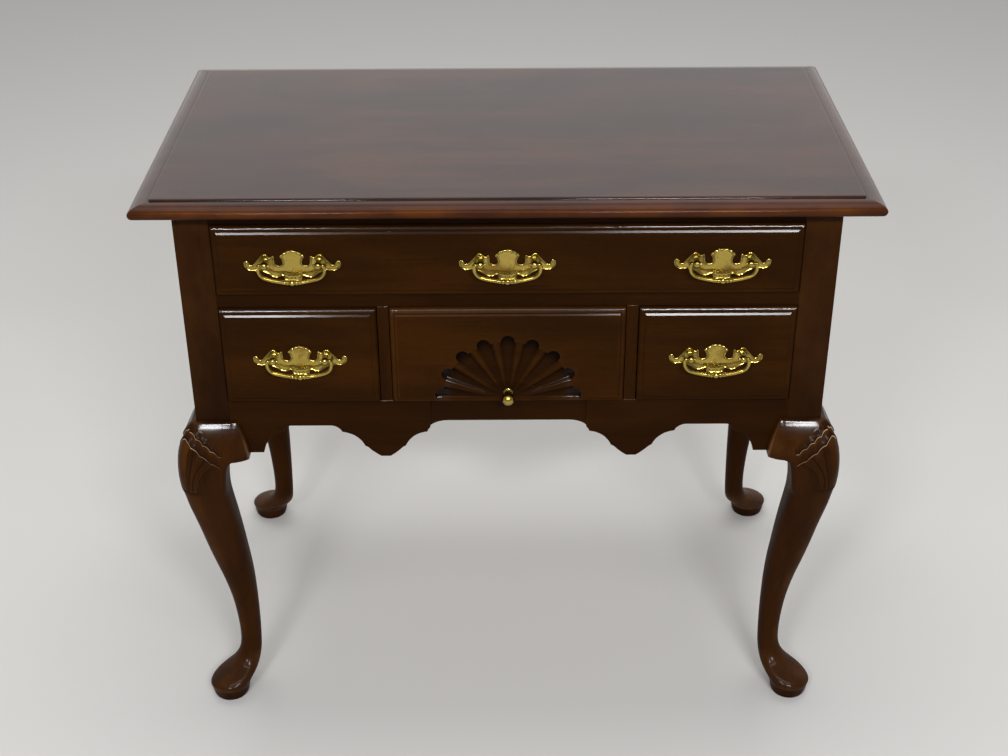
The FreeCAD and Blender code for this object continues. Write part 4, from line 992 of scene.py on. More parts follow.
def fan_depth(x, z):
    """How deep the carved fan lies under the flat of the drawer front."""
    rise = z - FAN_HUB_HEIGHT
    far = np.maximum(np.hypot(x, rise), 0.01)
    degrees = np.degrees(np.arctan2(rise, x))
    half_pitch = far * math.radians(FLUTE_PITCH / 2)
    along = np.clip((far - FLUTE_START) / (RIDGE_END - FLUTE_START), 0.0, 1.0)
    half = FLUTE_START_HALF + (FLUTE_END_HALF - FLUTE_START_HALF) * along
    deep = FLUTE_START_DEPTH + (FLUTE_END_DEPTH - FLUTE_START_DEPTH) * along
    deep = deep * smooth_step(FLUTE_START - 4.0, FLUTE_START + 4.0, far)
    deep = deep * (1.0 - 0.15 * smooth_step(FAN_RADIUS - 10.0, FAN_RADIUS, far))
    off = fan_share(degrees) * 2 * half_pitch
    flank = RIDGE_DROP * deep
    inside = np.clip(off / half, 0.0, 1.0)
    crown = np.clip((off - half) / np.maximum(half_pitch - half, 0.1), 0.0, 1.0)
    flute = flank + (deep - flank) * (1.0 - inside ** 2) ** 0.8
    ridge = flank * (1.0 - crown) ** 2.2
    dish = DISH_DEPTH * np.maximum(1.0 - (far / DISH_RADIUS) ** 2, 0.0)
    return np.where(off < half, flute, ridge) + dish + RIDGE_SET_IN


def fan_directions():
    """Angles round the hub, close together where the outline turns, from sill to sill."""
    edge = FLUTE_PITCH * FLUTE_SHARE
    turn = edge * np.sin(np.linspace(-math.pi / 2, math.pi / 2, 21))
    between = np.linspace(edge, FLUTE_PITCH - edge, 12)[1:-1]
    middles = FIRST_FLUTE + FLUTE_PITCH * np.arange(FLUTES)
    marks = np.concatenate([part for middle in middles for part in (middle + turn, middle + between)])
    marks = marks[marks < middles[-1] + edge + 0.01]
    low = marks[0]
    for _ in range(12):
        low = math.degrees(math.asin((SILL_TOP - FAN_HUB_HEIGHT) / float(fan_radius(np.array(low)))))
    marks = marks[(marks > low + 0.15) & (marks < 180.0 - low - 0.15)]
    return np.concatenate([[low], marks, [180.0 - low]])


def on_front(flat, depth):
    """Points of the drawer front from their places across and up, and their depth under its face."""
    return np.stack([flat[..., 0], DRAWER_FACE + depth * np.ones(flat.shape[:-1]), flat[..., 1]], axis=-1)


def fan_grid():
    """Points of the carved field over directions and steps outwards, the wear on them, and the painted shade
    in the flutes.
    """
    degrees = fan_directions()
    reach = fan_radius(degrees)
    edge = np.stack([reach * np.cos(np.radians(degrees)),
                     FAN_HUB_HEIGHT + reach * np.sin(np.radians(degrees))], axis=-1)
    edge[[0, -1], 1] = SILL_TOP
    notch = [(SILL_HALF - 0.01) / edge[0, 0], (SILL_HALF + 0.01) / edge[0, 0]]
    steps = np.unique(np.concatenate([*(np.linspace(*run) for run in FAN_STEPS), notch]))
    hub = np.array([0.0, SILL_TOP])
    flat = hub + steps[:, None, None] * (edge - hub)[None]
    depth = fan_depth(flat[..., 0], flat[..., 1])
    rows = [on_front(flat, depth)]
    wear_and_highlight = [FAN_WEAR * np.clip(1.2 - depth / FAN_WORN_DEPTH, 0, 1) * (steps[:, None] > FAN_WORN_FROM)]
    far = np.hypot(flat[..., 0], flat[..., 1] - FAN_HUB_HEIGHT)
    head = smooth_step(RIDGE_END - 14.0, RIDGE_END + 4.0, far)
    # painted shade down the flutes, darkest at their heads
    hollow = np.clip((depth - FAN_SHADE_FROM) / FAN_SHADE_REACH, 0, 1) * (FAN_SHADE_SHARE + FLUTE_HEAD_SHADE * head)
    way = (edge - hub) / np.linalg.norm(edge - hub, axis=-1, keepdims=True)
    for out, share, worn in FAN_RIM:
        last = edge + way * out
        last[[0, -1], 1] = SILL_TOP
        rows.append(on_front(last, depth[-1] * share)[None])
        wear_and_highlight.append(np.full((1, len(edge)), worn))
    border = field_border(degrees)
    for share in np.linspace(0.12, 1.0, 7):
        rows.append(on_front(last + (border - last) * share, 0.0)[None])
        wear_and_highlight.append(np.zeros((1, len(edge))))
    return np.concatenate(rows), np.concatenate(wear_and_highlight), hollow


def field_border(degrees):
    """Where each direction meets the edge of the raised field; two directions meet its corners."""
    half, low, high = FRONT_HALF - FIELD_INSET, SILL_TOP, FRONT_HIGH - FIELD_INSET
    angle = np.radians((degrees - degrees[0]) / (degrees[-1] - degrees[0]) * 180.0)
    cos, sin = np.cos(angle), np.sin(angle)
    size = np.minimum(half / np.maximum(np.abs(cos), 1e-6), (high - low) / np.maximum(sin, 1e-6))
    border = np.stack([size * cos, low + size * sin], axis=-1)
    border[0], border[-1] = (half, low), (-half, low)
    for side in (1, -1):
        nearest = np.argmin(np.hypot(border[:, 0] - side * half, border[:, 1] - high))
        border[nearest] = (side * half, high)
    return border


def lip_profile():
    """(inset, y) of the drawer's moulded edge from its back to the raised field, and its wear."""
    rows = [(0.0, DRAWER_REAR, 0.0), (0.0, LIP_BACK, 0.6)]
    for k in range(1, 9):
        angle = math.pi / 2 * k / 8
        rows.append((LIP_ROUND * (1 - math.cos(angle)),
                     LIP_BACK + (LIP_FRONT - LIP_BACK) * math.sin(angle), 0.75 - 0.05 * k))
    step = DRAWER_FACE + FIELD_SLOPE_DEPTH
    return rows + [(6.4, LIP_FRONT, -0.6), (6.58, LIP_FRONT - 0.1, -0.6), (6.6, step, 0.2),
                   (6.8, step - 0.12, SLOPE_WEAR), (8.65, DRAWER_FACE + 0.12, SLOPE_WEAR),
                   (8.8, DRAWER_FACE + 0.035, 0.5)]


def lip_rings(field):
    """Rings of the moulded edge that end on the carved field's border, and the wear of each."""
    top_run = field[-1]
    bottom = np.concatenate([field[-2::-1, -1], field[1:-1, 0]])
    half, high = FRONT_HALF - FIELD_INSET, FRONT_HIGH - FIELD_INSET
    rings, wear_and_highlight = [], []
    for inset, y, worn in lip_profile():
        under = FRONT_LOW + inset * (SILL_TOP - FRONT_LOW) / FIELD_INSET
        ring = [(math.copysign(FRONT_HALF - inset, x) if abs(abs(x) - half) < 0.01 else x, y,
                 FRONT_HIGH - inset if abs(z - high) < 0.01 else z) for x, _, z in top_run]
        ring[0] = (FRONT_HALF - inset, y, under)
        ring[-1] = (-FRONT_HALF + inset, y, under)
        for x, _, z in bottom:
            carved = float(fan_depth(np.array(x), np.array(max(under, FAN_HUB_HEIGHT + 0.2))))
            cut = DRAWER_FACE + max(SILL_DEPTH, carved)
            ring.append((x, max(y, cut) if abs(x) < SILL_HALF else y, under))
        rings.append(ring)
        wear_and_highlight.append([worn] * len(ring))
    return np.array(rings), np.array(wear_and_highlight)


def carved_front():
    """The middle drawer's front with its moulded edge and the fan, from the face to halfway back."""
    field, wear_and_highlight, hollow = fan_grid()
    rings, ring_wear = lip_rings(field)
    rows, columns = field.shape[:2]
    count, size = rings.shape[:2]
    inner = list(range(count * size, count * size + columns))
    start = inner[-1] + 1
    at = np.arange(start, start + (rows - 1) * columns).reshape(rows - 1, columns)
    faces = grid_faces(count, size, closed_columns=True) + [tuple(range(size))[::-1]]
    border = (count - 1) * size
    for j in range(columns - 1):
        faces.append((border + j, border + j + 1, inner[j + 1], inner[j]))
        faces.append((inner[j], inner[j + 1], at[-1, j + 1], at[-1, j]))
    faces += [face[::-1] for face in grid_faces(rows - 1, columns, start=start)]
    line = [inner[-1], *at[:0:-1, -1], at[0, 0], *at[1:, 0], inner[0]]
    ring = [*range(border + columns - 1, border + size), border]
    for k in range(min(len(line), len(ring)) - 1):
        faces.append((ring[k], ring[k + 1], line[k + 1], line[k]))
    points = np.concatenate([rings.reshape(-1, 3), field[-1], field[:-1].reshape(-1, 3)])
    plain = np.zeros(columns)
    all_wear = np.concatenate([np.clip(ring_wear.ravel(), 0, 1), plain, wear_and_highlight[:-1].ravel()])
    all_hollow = np.concatenate([np.clip(-ring_wear.ravel(), 0, 1), plain, hollow.ravel()])
    return points, [tuple(int(k) for k in face) for face in faces], all_wear, all_hollow


def build_centre_front():
    """The middle drawer's front: the carved skin before, the solid's own shape behind."""
    points, faces, wear_and_highlight, hollow = carved_front()
    rear_points, rear_faces, _ = eased_mesh("centre_drawer_front", 0.3, cut=DRAWER_REAR)
    points, faces = join_shells([(points, faces), (rear_points, rear_faces)])
    x, y, z = points.T
    lip = (z > FRONT_HIGH - 4.6) & (y > DRAWER_FACE + 0.01)
    border = (z < FRONT_HIGH - 6.7) & (z > FRONT_HIGH - FIELD_INSET - 0.01) & (y > DRAWER_FACE + 0.01)
    in_fan = (y > DRAWER_FACE + 0.8) & (z < FAN_HUB_HEIGHT + 42.0) & (np.abs(x) < FAN_RADIUS + 1.0)
    low_flutes = 0.3 * smooth_step(60.0, 80.0, np.abs(x)) * in_fan * (y < DRAWER_REAR)
    mesh_piece("centre_drawer_front_carved", points, faces, "centre_drawer", ["centre_drawer_front"],
               FRONT_WOOD, smooth=38.0, wear_and_highlight=wear_and_highlight, hollow=hollow,
               moulded=np.maximum(np.maximum(0.55 * lip, 0.6 * SLOPE_POLISH * border), low_flutes))


# ---------------------------------------------------------------- what repeats

def repeat_tree():
    """Geometry Nodes: one part on every point of a mesh, real and with its material."""
    tree, start, end = new_group(
        "Part on every point",
        {"Places": "Geometry", "Part": "Object", "Size": "Float", "Finish": "Material"},
        {"Parts": "Geometry"}, "GeometryNodeTree")
    part = add_node(tree, "GeometryNodeObjectInfo", {"Object": start["Part"]})
    spots = add_node(tree, "GeometryNodeMeshToPoints", {"Mesh": start["Places"]})
    laid = add_node(tree, "GeometryNodeInstanceOnPoints",
                    {"Points": spots.outputs["Points"], "Instance": part.outputs["Geometry"],
                     "Scale": start["Size"]})
    real = add_node(tree, "GeometryNodeRealizeInstances", {"Geometry": laid.outputs["Instances"]})
    finish = add_node(tree, "GeometryNodeSetMaterial",
                      {"Geometry": real.outputs["Geometry"], "Material": start["Finish"]})
    feed(tree, end, {"Parts": finish.outputs["Geometry"]})
    return tree


def repeated_mesh(part, places, finish, size=1.0):
    """A plain mesh of a part (points and faces in millimetres about its own centre) at several places."""
    pattern = in_scene("pattern", outward_mesh("pattern", *part))
    host = in_scene("places", outward_mesh("places", places, []))
    modifier = host.modifiers.new("repeat", "NODES")
    modifier.node_group = REPEAT
    sockets = {item.name: item.identifier for item in REPEAT.interface.items_tree if item.in_out == "INPUT"}
    for label, value in (("Part", pattern), ("Size", size), ("Finish", finish)):
        modifier[sockets[label]] = value
    ready = host.evaluated_get(bpy.context.evaluated_depsgraph_get())
    mesh = bpy.data.meshes.new_from_object(ready)
    points = np.empty(len(mesh.vertices) * 3)
    mesh.vertices.foreach_get("co", points)
    faces = [tuple(face.vertices) for face in mesh.polygons]
    host.modifiers.clear()
    for item in (host, pattern):
        bpy.data.objects.remove(item)
    return points.reshape(-1, 3) / MM, faces


REPEAT = repeat_tree()

SCREW_X, SCREW_YS = 368.0, (-155.0, -5.5, 144.0)
SCREW_LOW = 726.0
SCREW_PROFILE = [(0.0, 0.9), (4.0, 0.9), (4.0, 1.2), (2.2, 2.7), (2.0, 4.0), (2.0, 25.0), (0.4, 27.0)]
SCREW_HEAD, SLOT_DEPTH, SLOT_HALF_WIDTH = 4.0, 1.0, 0.45


def screw_shape():
    """A countersunk screw pointing up, with the slot between the two halves of its head."""
    x = SCREW_HEAD * np.sin(np.linspace(-1.44, 1.44, 17))
    shells = [lathe(SCREW_PROFILE, (0.0, 0.0, 0.0), (0.0, 0.0, 1.0), 28)]
    for side in (-1, 1):
        inner = np.stack([x, np.full_like(x, side * SLOT_HALF_WIDTH), np.zeros_like(x)], axis=-1)
        outer = np.stack([x, side * np.sqrt(SCREW_HEAD ** 2 - x ** 2), np.zeros_like(x)], axis=-1)
        face = np.stack([inner, outer])
        shells.append(closed_slab(face, face + np.array([0.0, 0.0, SLOT_DEPTH])))
    return join_shells(shells)


def build_screws():
    """Slotted screws up through the glue blocks."""
    places = [(side * SCREW_X, y, SCREW_LOW) for y in SCREW_YS for side in (-1, 1)]
    points, faces = repeated_mesh(screw_shape(), places, STEEL)
    mesh_piece("screws_under_top", points, faces, "case", ["top_screws"], STEEL, grain="z")


# ---------------------------------------------------------------- brass pulls and knob

UPPER_PULLS, LOWER_PULLS = 677.0, 547.5
PULL_X = 254.75
PULLS = {"top_left": ("top_drawer", -PULL_X, UPPER_PULLS), "top_centre": ("top_drawer", 0.0, UPPER_PULLS),
         "top_right": ("top_drawer", PULL_X, UPPER_PULLS), "left": ("left_drawer", -PULL_X, LOWER_PULLS),
         "right": ("right_drawer", PULL_X, LOWER_PULLS)}
POST_HALF = 31.75
EYE_REACH = 13.5
DRAWER_INSIDE = -200.0
PLATE_EDGE, PLATE_RIM, PLATE_FIELD = 1.15, 2.0, 1.1
CREST_RADIUS, CREST_CENTRE, CREST_SCALLOPS, CREST_SCALLOP, CREST_BULGE = 17.1, -3.4, 7, 17.0, 0.9
CREST_BEAD_INSET, CREST_BEAD_OUT = 0.75, 1.7
# distance from the edge, height of the cast face
RIM_ROWS = ((0.0, PLATE_EDGE), (0.3, 1.75), (0.75, PLATE_RIM), (1.25, 1.8), (1.75, PLATE_FIELD + 0.1),
            (2.2, PLATE_FIELD))
# the foot's small leaves: across, up, radius, rise
FOOT_LEAVES = [(0.0, -19.2, 2.7, 0.95), *((side * x, z, radius, rise) for x, z, radius, rise in (
    (4.7, -18.7, 2.5, 0.9), (8.7, -17.4, 2.2, 0.8), (2.4, -22.7, 1.7, 0.75), (6.6, -22.2, 1.6, 0.7))
    for side in (-1, 1))]
CURL_X, CURL_Z = 52.6, -5.2
# rings round the curls: rise, radius, width; and the distance from the edge where they begin
CURL, CURL_FROM = (0.35, 2.6, 0.7), 1.6
FIELD_RISE, LEAF_NARROWING = 0.3, 1.15
# grime inside the rim: strength, distance from the edge, width; and wear by height on the cast face
PLATE_GRIME, PLATE_WORN, PLATE_BACK_WEAR = (0.55, 2.2, 0.7), (1.45, 1.8), 0.4
# the spots raised on a plate: their spacing, their distance from the rim's, and where they may lie
PLATE_MESH, PLATE_CLEAR = 0.8, 2.55
PLATE_HALF, PLATE_LOW, PLATE_HIGH = 58.0, -26.5, 15.5
# the right half of a backplate below its crest: (through, end) of arcs, or (end,) of straight lines
WING_STEPS = (
    ((12.4, 2.0), (11.5, -1.9)), ((16.6, -5.4), (20.9, -1.2)), ((21.1, 5.0),),
    ((22.3, 7.0), (24.2, 6.1)), ((26.3, 5.5), (28.4, 7.2)), ((32.2, 9.5), (36.5, 7.6)),
    ((46.0, -3.2),), ((48.9, -4.5), (51.2, -2.4)), ((55.0, 0.9), (57.6, -3.4)),
    ((54.9, -10.0), (47.3, -12.6)), ((41.5, -12.2), (36.0, -13.4)),
    ((30.6, -16.0), (26.0, -19.4)), ((20.7, -21.4), (15.0, -19.9)), ((12.6, -18.8),),
    ((10.9, -21.4), (10.4, -24.2)), ((5.6, -25.9), (0.0, -25.4)))


def arc_points(start, through, end, spacing):
    """Points after start along the circle through three points."""
    (ax, ay), (bx, by), (cx, cy) = start, through, end
    d = 2 * (ax * (by - cy) + bx * (cy - ay) + cx * (ay - by))
    a2, b2, c2 = ax * ax + ay * ay, bx * bx + by * by, cx * cx + cy * cy
    ux = (a2 * (by - cy) + b2 * (cy - ay) + c2 * (ay - by)) / d
    uy = (a2 * (cx - bx) + b2 * (ax - cx) + c2 * (bx - ax)) / d
    radius = math.hypot(ax - ux, ay - uy)
    angles = [math.atan2(y - uy, x - ux) for x, y in (start, through, end)]
    turn = (angles[2] - angles[0]) % (2 * math.pi)
    if (angles[1] - angles[0]) % (2 * math.pi) > turn:
        turn -= 2 * math.pi
    count = max(3, int(abs(turn) * radius / spacing))
    steps = [angles[0] + turn * k / count for k in range(1, count + 1)]
    return [(ux + radius * math.cos(angle), uy + radius * math.sin(angle)) for angle in steps]


def crest_point(degrees, radius):
    """A place on the round crest of a backplate."""
    angle = math.radians(degrees)
    return radius * math.cos(angle), CREST_CENTRE + radius * math.sin(angle)


def plate_outline(spacing=0.55):
    """The backplate's outline, clockwise from the top of its crest round to the start."""
    top = crest_point(90.0, CREST_RADIUS + CREST_BULGE)
    line = []
    for k in range(CREST_SCALLOPS // 2 + 1):
        edges = [crest_point(90.0 + CREST_SCALLOP * (side - k), CREST_RADIUS) for side in (0.5, -0.5)]
        middle = crest_point(90.0 - CREST_SCALLOP * k, CREST_RADIUS + CREST_BULGE)
        line += arc_points(edges[0], middle, edges[1], spacing)
    line = [p for p in line if p[0] > 0.0]
    for step in WING_STEPS:
        if len(step) == 2:
            line += arc_points(line[-1], *step, spacing)
        else:
            (x, y), (to_x, to_y) = line[-1], step[0]
            count = max(1, int(math.dist(line[-1], step[0]) / spacing))
            line += [(x + (to_x - x) * k / count, y + (to_y - y) * k / count) for k in range(1, count + 1)]
    line[-1] = (0.0, line[-1][1])
    return np.array([top] + line + [(-x, y) for x, y in line[-2::-1]])


def nearest_distance(points, outline):
    """Distance of every point from a closed outline."""
    a, b = outline, np.roll(outline, -1, axis=0)
    best = np.full(len(points), 1e9)
    way = b - a
    size = np.maximum((way ** 2).sum(1), 1e-12)
    for k in range(0, len(points), 400):
        rel = points[k:k + 400, None, :] - a[None]
        t = np.clip((rel * way[None]).sum(-1) / size[None], 0.0, 1.0)
        gap = rel - t[..., None] * way[None]
        best[k:k + 400] = np.sqrt((gap ** 2).sum(-1).min(1))
    return best


def inside_outline(points, outline):
    """Whether each point lies inside a closed outline."""
    x, y = points[:, 0:1], points[:, 1:2]
    ax, ay = outline[None, :, 0], outline[None, :, 1]
    bx, by = np.roll(ax, -1, axis=1), np.roll(ay, -1, axis=1)
    with np.errstate(divide="ignore", invalid="ignore"):
        crossing = ((ay > y) != (by > y)) & (x < (bx - ax) * (y - ay) / (by - ay) + ax)
    return crossing.sum(1) % 2 == 1


def plate_height(points, far):
    """The cast face of a backplate: a raised rim, a low field and the small leaves of its foot."""
    height = row_value(RIM_ROWS, far) + FIELD_RISE * smooth_step(2.4, 11.0, far)
    x, z = points[:, 0], points[:, 1]
    for cx, cz, radius, rise in FOOT_LEAVES:
        gap = np.hypot((x - cx) * LEAF_NARROWING, z - cz) / radius
        height = np.maximum(height, PLATE_FIELD + rise * np.sqrt(np.clip(1.0 - gap ** 2, 0, 1)) * (gap < 1))
    for side in (-1, 1):
        curl = np.hypot(x - side * CURL_X, z - CURL_Z)
        height += bell(curl, *CURL) * (far > CURL_FROM)
    return height


def plate_spots(outline):
    """Places to raise on a backplate, the outline's own first, and their distance from its edge."""
    ahead = np.roll(outline, -1, axis=0) - np.roll(outline, 1, axis=0)
    inward = np.stack([ahead[:, 1], -ahead[:, 0]], axis=-1)
    inward /= np.linalg.norm(inward, axis=-1, keepdims=True)
    if not inside_outline(outline[:1] + inward[:1] * 0.3, outline)[0]:
        inward = -inward
    points, far = [outline], [np.zeros(len(outline))]
    xs, zs = np.meshgrid(np.arange(-PLATE_HALF, PLATE_HALF, PLATE_MESH),
                         np.arange(PLATE_LOW, PLATE_HIGH, PLATE_MESH))
    xs = xs + PLATE_MESH / 2 * (np.arange(len(xs))[:, None] % 2)
    field = np.stack([xs.ravel(), zs.ravel()], axis=-1)
    for depth, _ in RIM_ROWS[1:]:
        ring = outline + inward * depth
        true = nearest_distance(ring, outline)
        keep = (true > 0.94 * depth) & inside_outline(ring, outline)
        points.append(ring[keep])
        far.append(true[keep])
    field = field[inside_outline(field, outline)]
    true = nearest_distance(field, outline)
    points.append(field[true > PLATE_CLEAR])
    far.append(true[true > PLATE_CLEAR])
    return np.concatenate(points), np.concatenate(far)


def plate_shape():
    """A backplate about its own centre, lying on the plane y = 0 towards -Y, with its wear and grime."""
    outline = plate_outline()
    points, far = plate_spots(outline)
    count = len(outline)
    around = [(k, (k + 1) % count) for k in range(count)]
    result = delaunay_2d_cdt([Vector(p) for p in points], around, [], 1, 1e-6)
    flat = np.array([tuple(v) for v in result[0]])
    origin = np.array([(ids[0] if ids else -1) for ids in result[3]])
    distance = np.where(origin >= 0, far[np.maximum(origin, 0)], 0.0)
    height = plate_height(flat, distance)
    face = np.stack([flat[:, 0], -height, flat[:, 1]], axis=-1)
    back = np.stack([outline[:, 0], np.zeros(count), outline[:, 1]], axis=-1)
    new_at = {int(o): k for k, o in enumerate(origin) if 0 <= o < count}
    start = len(face)
    faces = [tuple(t) for t in result[2]]
    faces += [(new_at[a], new_at[b], start + b, start + a) for a, b in around]
    faces.append(tuple(start + k for k in range(count)))
    wear_and_highlight = np.concatenate([smooth_step(*PLATE_WORN, height), np.full(count, PLATE_BACK_WEAR)])
    return np.concatenate([face, back]), faces, wear_and_highlight, bell(distance, *PLATE_GRIME)


def crest_beads():
    """Places of the small beads along the crest of a backplate."""
    middle = (CREST_SCALLOPS - 1) / 2
    spots = [crest_point(90.0 + CREST_SCALLOP * (k - middle), CREST_RADIUS - CREST_BEAD_INSET)
             for k in range(CREST_SCALLOPS)]
    return np.array([(x, -CREST_BEAD_OUT, z) for x, z in spots])


# turned profiles: radius, distance along the axis
BEAD = [(0.02, -1.3), (0.9, -1.1), (1.45, -0.6), (1.65, -0.1), (1.45, 0.3), (0.9, 0.52), (0.02, 0.6)]
POST_PROFILE = [
    (0.02, 0.6), (4.6, 0.6), (4.9, 1.3), (4.7, 2.1), (4.1, 2.5), (3.4, 2.9), (3.0, 3.8), (2.9, 5.4),
    (3.2, 6.3), (3.9, 6.8), (4.0, 7.2), (3.7, 7.7), (3.0, 8.2), (2.8, 8.8), (3.1, 9.6), (3.9, 10.6),
    (4.5, 12.2), (4.6, 13.5), (4.45, 14.9), (3.9, 16.2), (3.0, 17.2), (1.9, 17.9), (0.9, 18.15),
    (0.02, 18.2)]
NUT_RADIUS, NUT_SEGMENTS = 5.0, 48
NUT_PROFILE = [(4.5, 0.0), (5.0, 0.35), (5.0, 3.1), (4.5, 3.5)]
STUD_PROFILE = [(0.02, 2.5), (2.2, 2.5), (2.2, 3.5), (1.7, 4.0), (0.02, 4.05)]


def nut_shape():
    """A six-sided nut with its edges taken off, about the end of the stud that comes through it."""
    loops = []
    for radius, along in NUT_PROFILE:
        ring = []
        for k in range(NUT_SEGMENTS):
            angle = 2 * math.pi * k / NUT_SEGMENTS
            turn = (angle + math.pi / 6) % (math.pi / 3) - math.pi / 6
            reach = min(radius, NUT_RADIUS * math.cos(math.pi / 6) / math.cos(turn) + 0.02)
            ring.append((reach * math.cos(angle), along, reach * math.sin(angle)))
        loops.append(ring)
    return join_shells([closed_loft(loops), lathe(STUD_PROFILE, (0, 0, 0), (0, 1, 0), 24)])


BAIL_HALF, BAIL_SHOULDER, BAIL_DROP, BAIL_CORNER, BAIL_RADIUS = 39.3, 5.0, 22.3, 13.0, 2.2
PIN_START, PIN_END, PIN_RADIUS, ELBOW = 25.35, 34.9, 1.9, 2.55
# the pin's rounded tip: distance along, radius
PIN_TIP = ((0.0, 0.3), (0.1, 1.5), (0.5, PIN_RADIUS))
# the bead beside the elbow, where its ball shows, and the elbow's swell: strength, step, width
BEAD_CENTRE, BEAD_RADIUS, BEAD_FROM, BEAD_TO = 38.15, 3.0, -2.9, -1.4
ELBOW_SWELL, ELBOW_STEPS = (0.75, 1.0, 2.5), 6
# half of the turned middle: distance from its centre, radius
SPINDLE = [
    (0.0, 3.9), (0.9, 3.82), (1.8, 3.5), (2.6, 2.9), (3.1, 2.35), (3.6, 2.3), (4.0, 2.7), (4.5, 3.1),
    (5.2, 3.3), (5.9, 3.15), (6.5, 2.75), (7.0, 2.35), (7.5, 2.3), (8.0, 2.6), (8.5, 2.95), (9.0, 3.05),
    (9.6, 2.9), (10.2, 2.5), (10.7, 2.3), (11.2, 2.35), (11.6, 2.65), (12.0, 2.75), (12.4, 2.6),
    (12.9, 2.3), (13.6, 2.25)]


def bail_path():
    """Half of the bail's centre line from its pin to the middle of its bow: x, z, radius."""
    corner, rise = BAIL_HALF - BAIL_CORNER, BAIL_DROP - BAIL_SHOULDER
    bow = (corner ** 2 + rise ** 2 - BAIL_CORNER ** 2) / (2.0 * (rise - BAIL_CORNER))
    centre = bow - BAIL_DROP
    lean = math.atan2(corner, centre + BAIL_SHOULDER)
    path = [(PIN_START + along, 0.0, radius) for along, radius in PIN_TIP]
    path += [(x, 0.0, PIN_RADIUS) for x in np.linspace(PIN_START + 1.5, PIN_END, 5)]
    for x in np.linspace(BEAD_CENTRE + BEAD_FROM, BEAD_CENTRE + BEAD_TO, 5):
        path.append((x, 0.0, math.sqrt(max(BEAD_RADIUS ** 2 - (x - BEAD_CENTRE) ** 2, 0.6 ** 2))))
    for k in range(ELBOW_STEPS + 1):
        angle = math.pi / 2 * k / ELBOW_STEPS
        path.append((BAIL_HALF - ELBOW + ELBOW * math.sin(angle), -ELBOW + ELBOW * math.cos(angle),
                     BAIL_RADIUS + bell(k, *ELBOW_SWELL)))
    path.append((BAIL_HALF, -0.5 * (ELBOW + BAIL_SHOULDER), BAIL_RADIUS))
    path += [(corner + BAIL_CORNER * math.sin(angle), -BAIL_SHOULDER - BAIL_CORNER * math.cos(angle),
              BAIL_RADIUS) for angle in np.linspace(math.pi / 2, lean, 14)]
    rows = [(x, BAIL_RADIUS + 0.05) for x in np.linspace(bow * math.sin(lean), 14.2, 9)[1:]]
    return path + [(x, centre - math.sqrt(bow ** 2 - x ** 2), radius) for x, radius in rows + SPINDLE[::-1]]


def bail_shape(segments=24):
    """The swinging handle about its own axis, as points and faces, with its wear and grime."""
    half = bail_path()
    path = np.array(half + [(-x, z, r) for x, z, r in half[-2::-1]])
    ahead = np.gradient(path[:, :2], axis=0)
    ahead /= np.maximum(np.linalg.norm(ahead, axis=1, keepdims=True), 1e-9)
    turn = 2 * math.pi * np.arange(segments) / segments
    x, z, radius = (column[:, None] for column in path.T)
    along_x, along_z = (column[:, None] for column in ahead.T)
    loops = np.stack([x - along_z * radius * np.cos(turn), radius * np.sin(turn),
                      z + along_x * radius * np.cos(turn)], axis=-1)
    wear_and_highlight = 0.3 + 0.7 * smooth_step(2.35, 3.0, radius)
    hollow = 0.4 * smooth_step(2.4, 2.3, radius) * (np.abs(x) < 12.0)
    return (*closed_loft(loops), np.repeat(wear_and_highlight, segments), np.repeat(hollow, segments))


KNOB_HEIGHT, KNOB_FOOT = 493.5, -219.7
KNOB_PROFILE = [
    (0.02, -1.0), (5.7, -1.0), (5.9, 0.4), (5.8, 1.3), (5.2, 1.9), (4.9, 2.1), (5.0, 2.5), (5.1, 3.0),
    (4.7, 3.5), (4.1, 4.1), (3.6, 5.2), (3.3, 6.6), (3.2, 8.0), (3.3, 9.2), (3.9, 9.8), (4.1, 10.2),
    (3.9, 10.6), (3.8, 10.8), (4.9, 11.6), (6.3, 12.8), (7.4, 14.6), (7.95, 16.6), (7.95, 18.6),
    (7.4, 20.6), (6.3, 22.5), (4.9, 23.9), (3.2, 24.9), (1.6, 25.5), (0.02, 25.7)]
KNOB_SEGMENTS = 48


def build_knob():
    """The turned knob of the middle drawer, worn on its head and dull in its neck."""
    shape = lathe(KNOB_PROFILE, (0.0, KNOB_FOOT, KNOB_HEIGHT), (0.0, -1.0, 0.0), KNOB_SEGMENTS)
    wear_and_highlight = np.repeat([smooth_step(4.2, 7.0, r) for r, _ in KNOB_PROFILE], KNOB_SEGMENTS)
    hollow = np.repeat([0.5 * (r < 3.85 and 8.0 < a < 11.0) for r, a in KNOB_PROFILE], KNOB_SEGMENTS)
    mesh_piece("knob_turned", *shape, "centre_drawer", ["centre_knob"], BRASS, smooth=50.0,
               grain="y", wear_and_highlight=wear_and_highlight, hollow=hollow)


def build_pull(name, drawer, at, plate, bead, rod):
    """A backplate with its beads, and the bail that swings before it."""
    plate_points, plate_faces, plate_wear, plate_hollow = plate
    beads = repeated_mesh(bead, crest_beads() + at, BRASS)
    points, faces = join_shells([(plate_points + at, plate_faces), beads])
    mesh_piece("backplate_%s_cast" % name, points, faces, drawer, ["backplate_" + name], BRASS,
               smooth=48.0, wear_and_highlight=np.concatenate([plate_wear, np.full(len(beads[0]), 0.9)]),
               hollow=plate_hollow)
    rod_points, rod_faces, rod_wear, rod_hollow = rod
    mesh_piece("bail_%s_turned" % name, rod_points + at + np.array([0.0, -EYE_REACH, 0.0]), rod_faces,
               "bail_%s_body" % name, ["bail_" + name], BRASS, smooth=50.0, wear_and_highlight=rod_wear,
               hollow=rod_hollow)


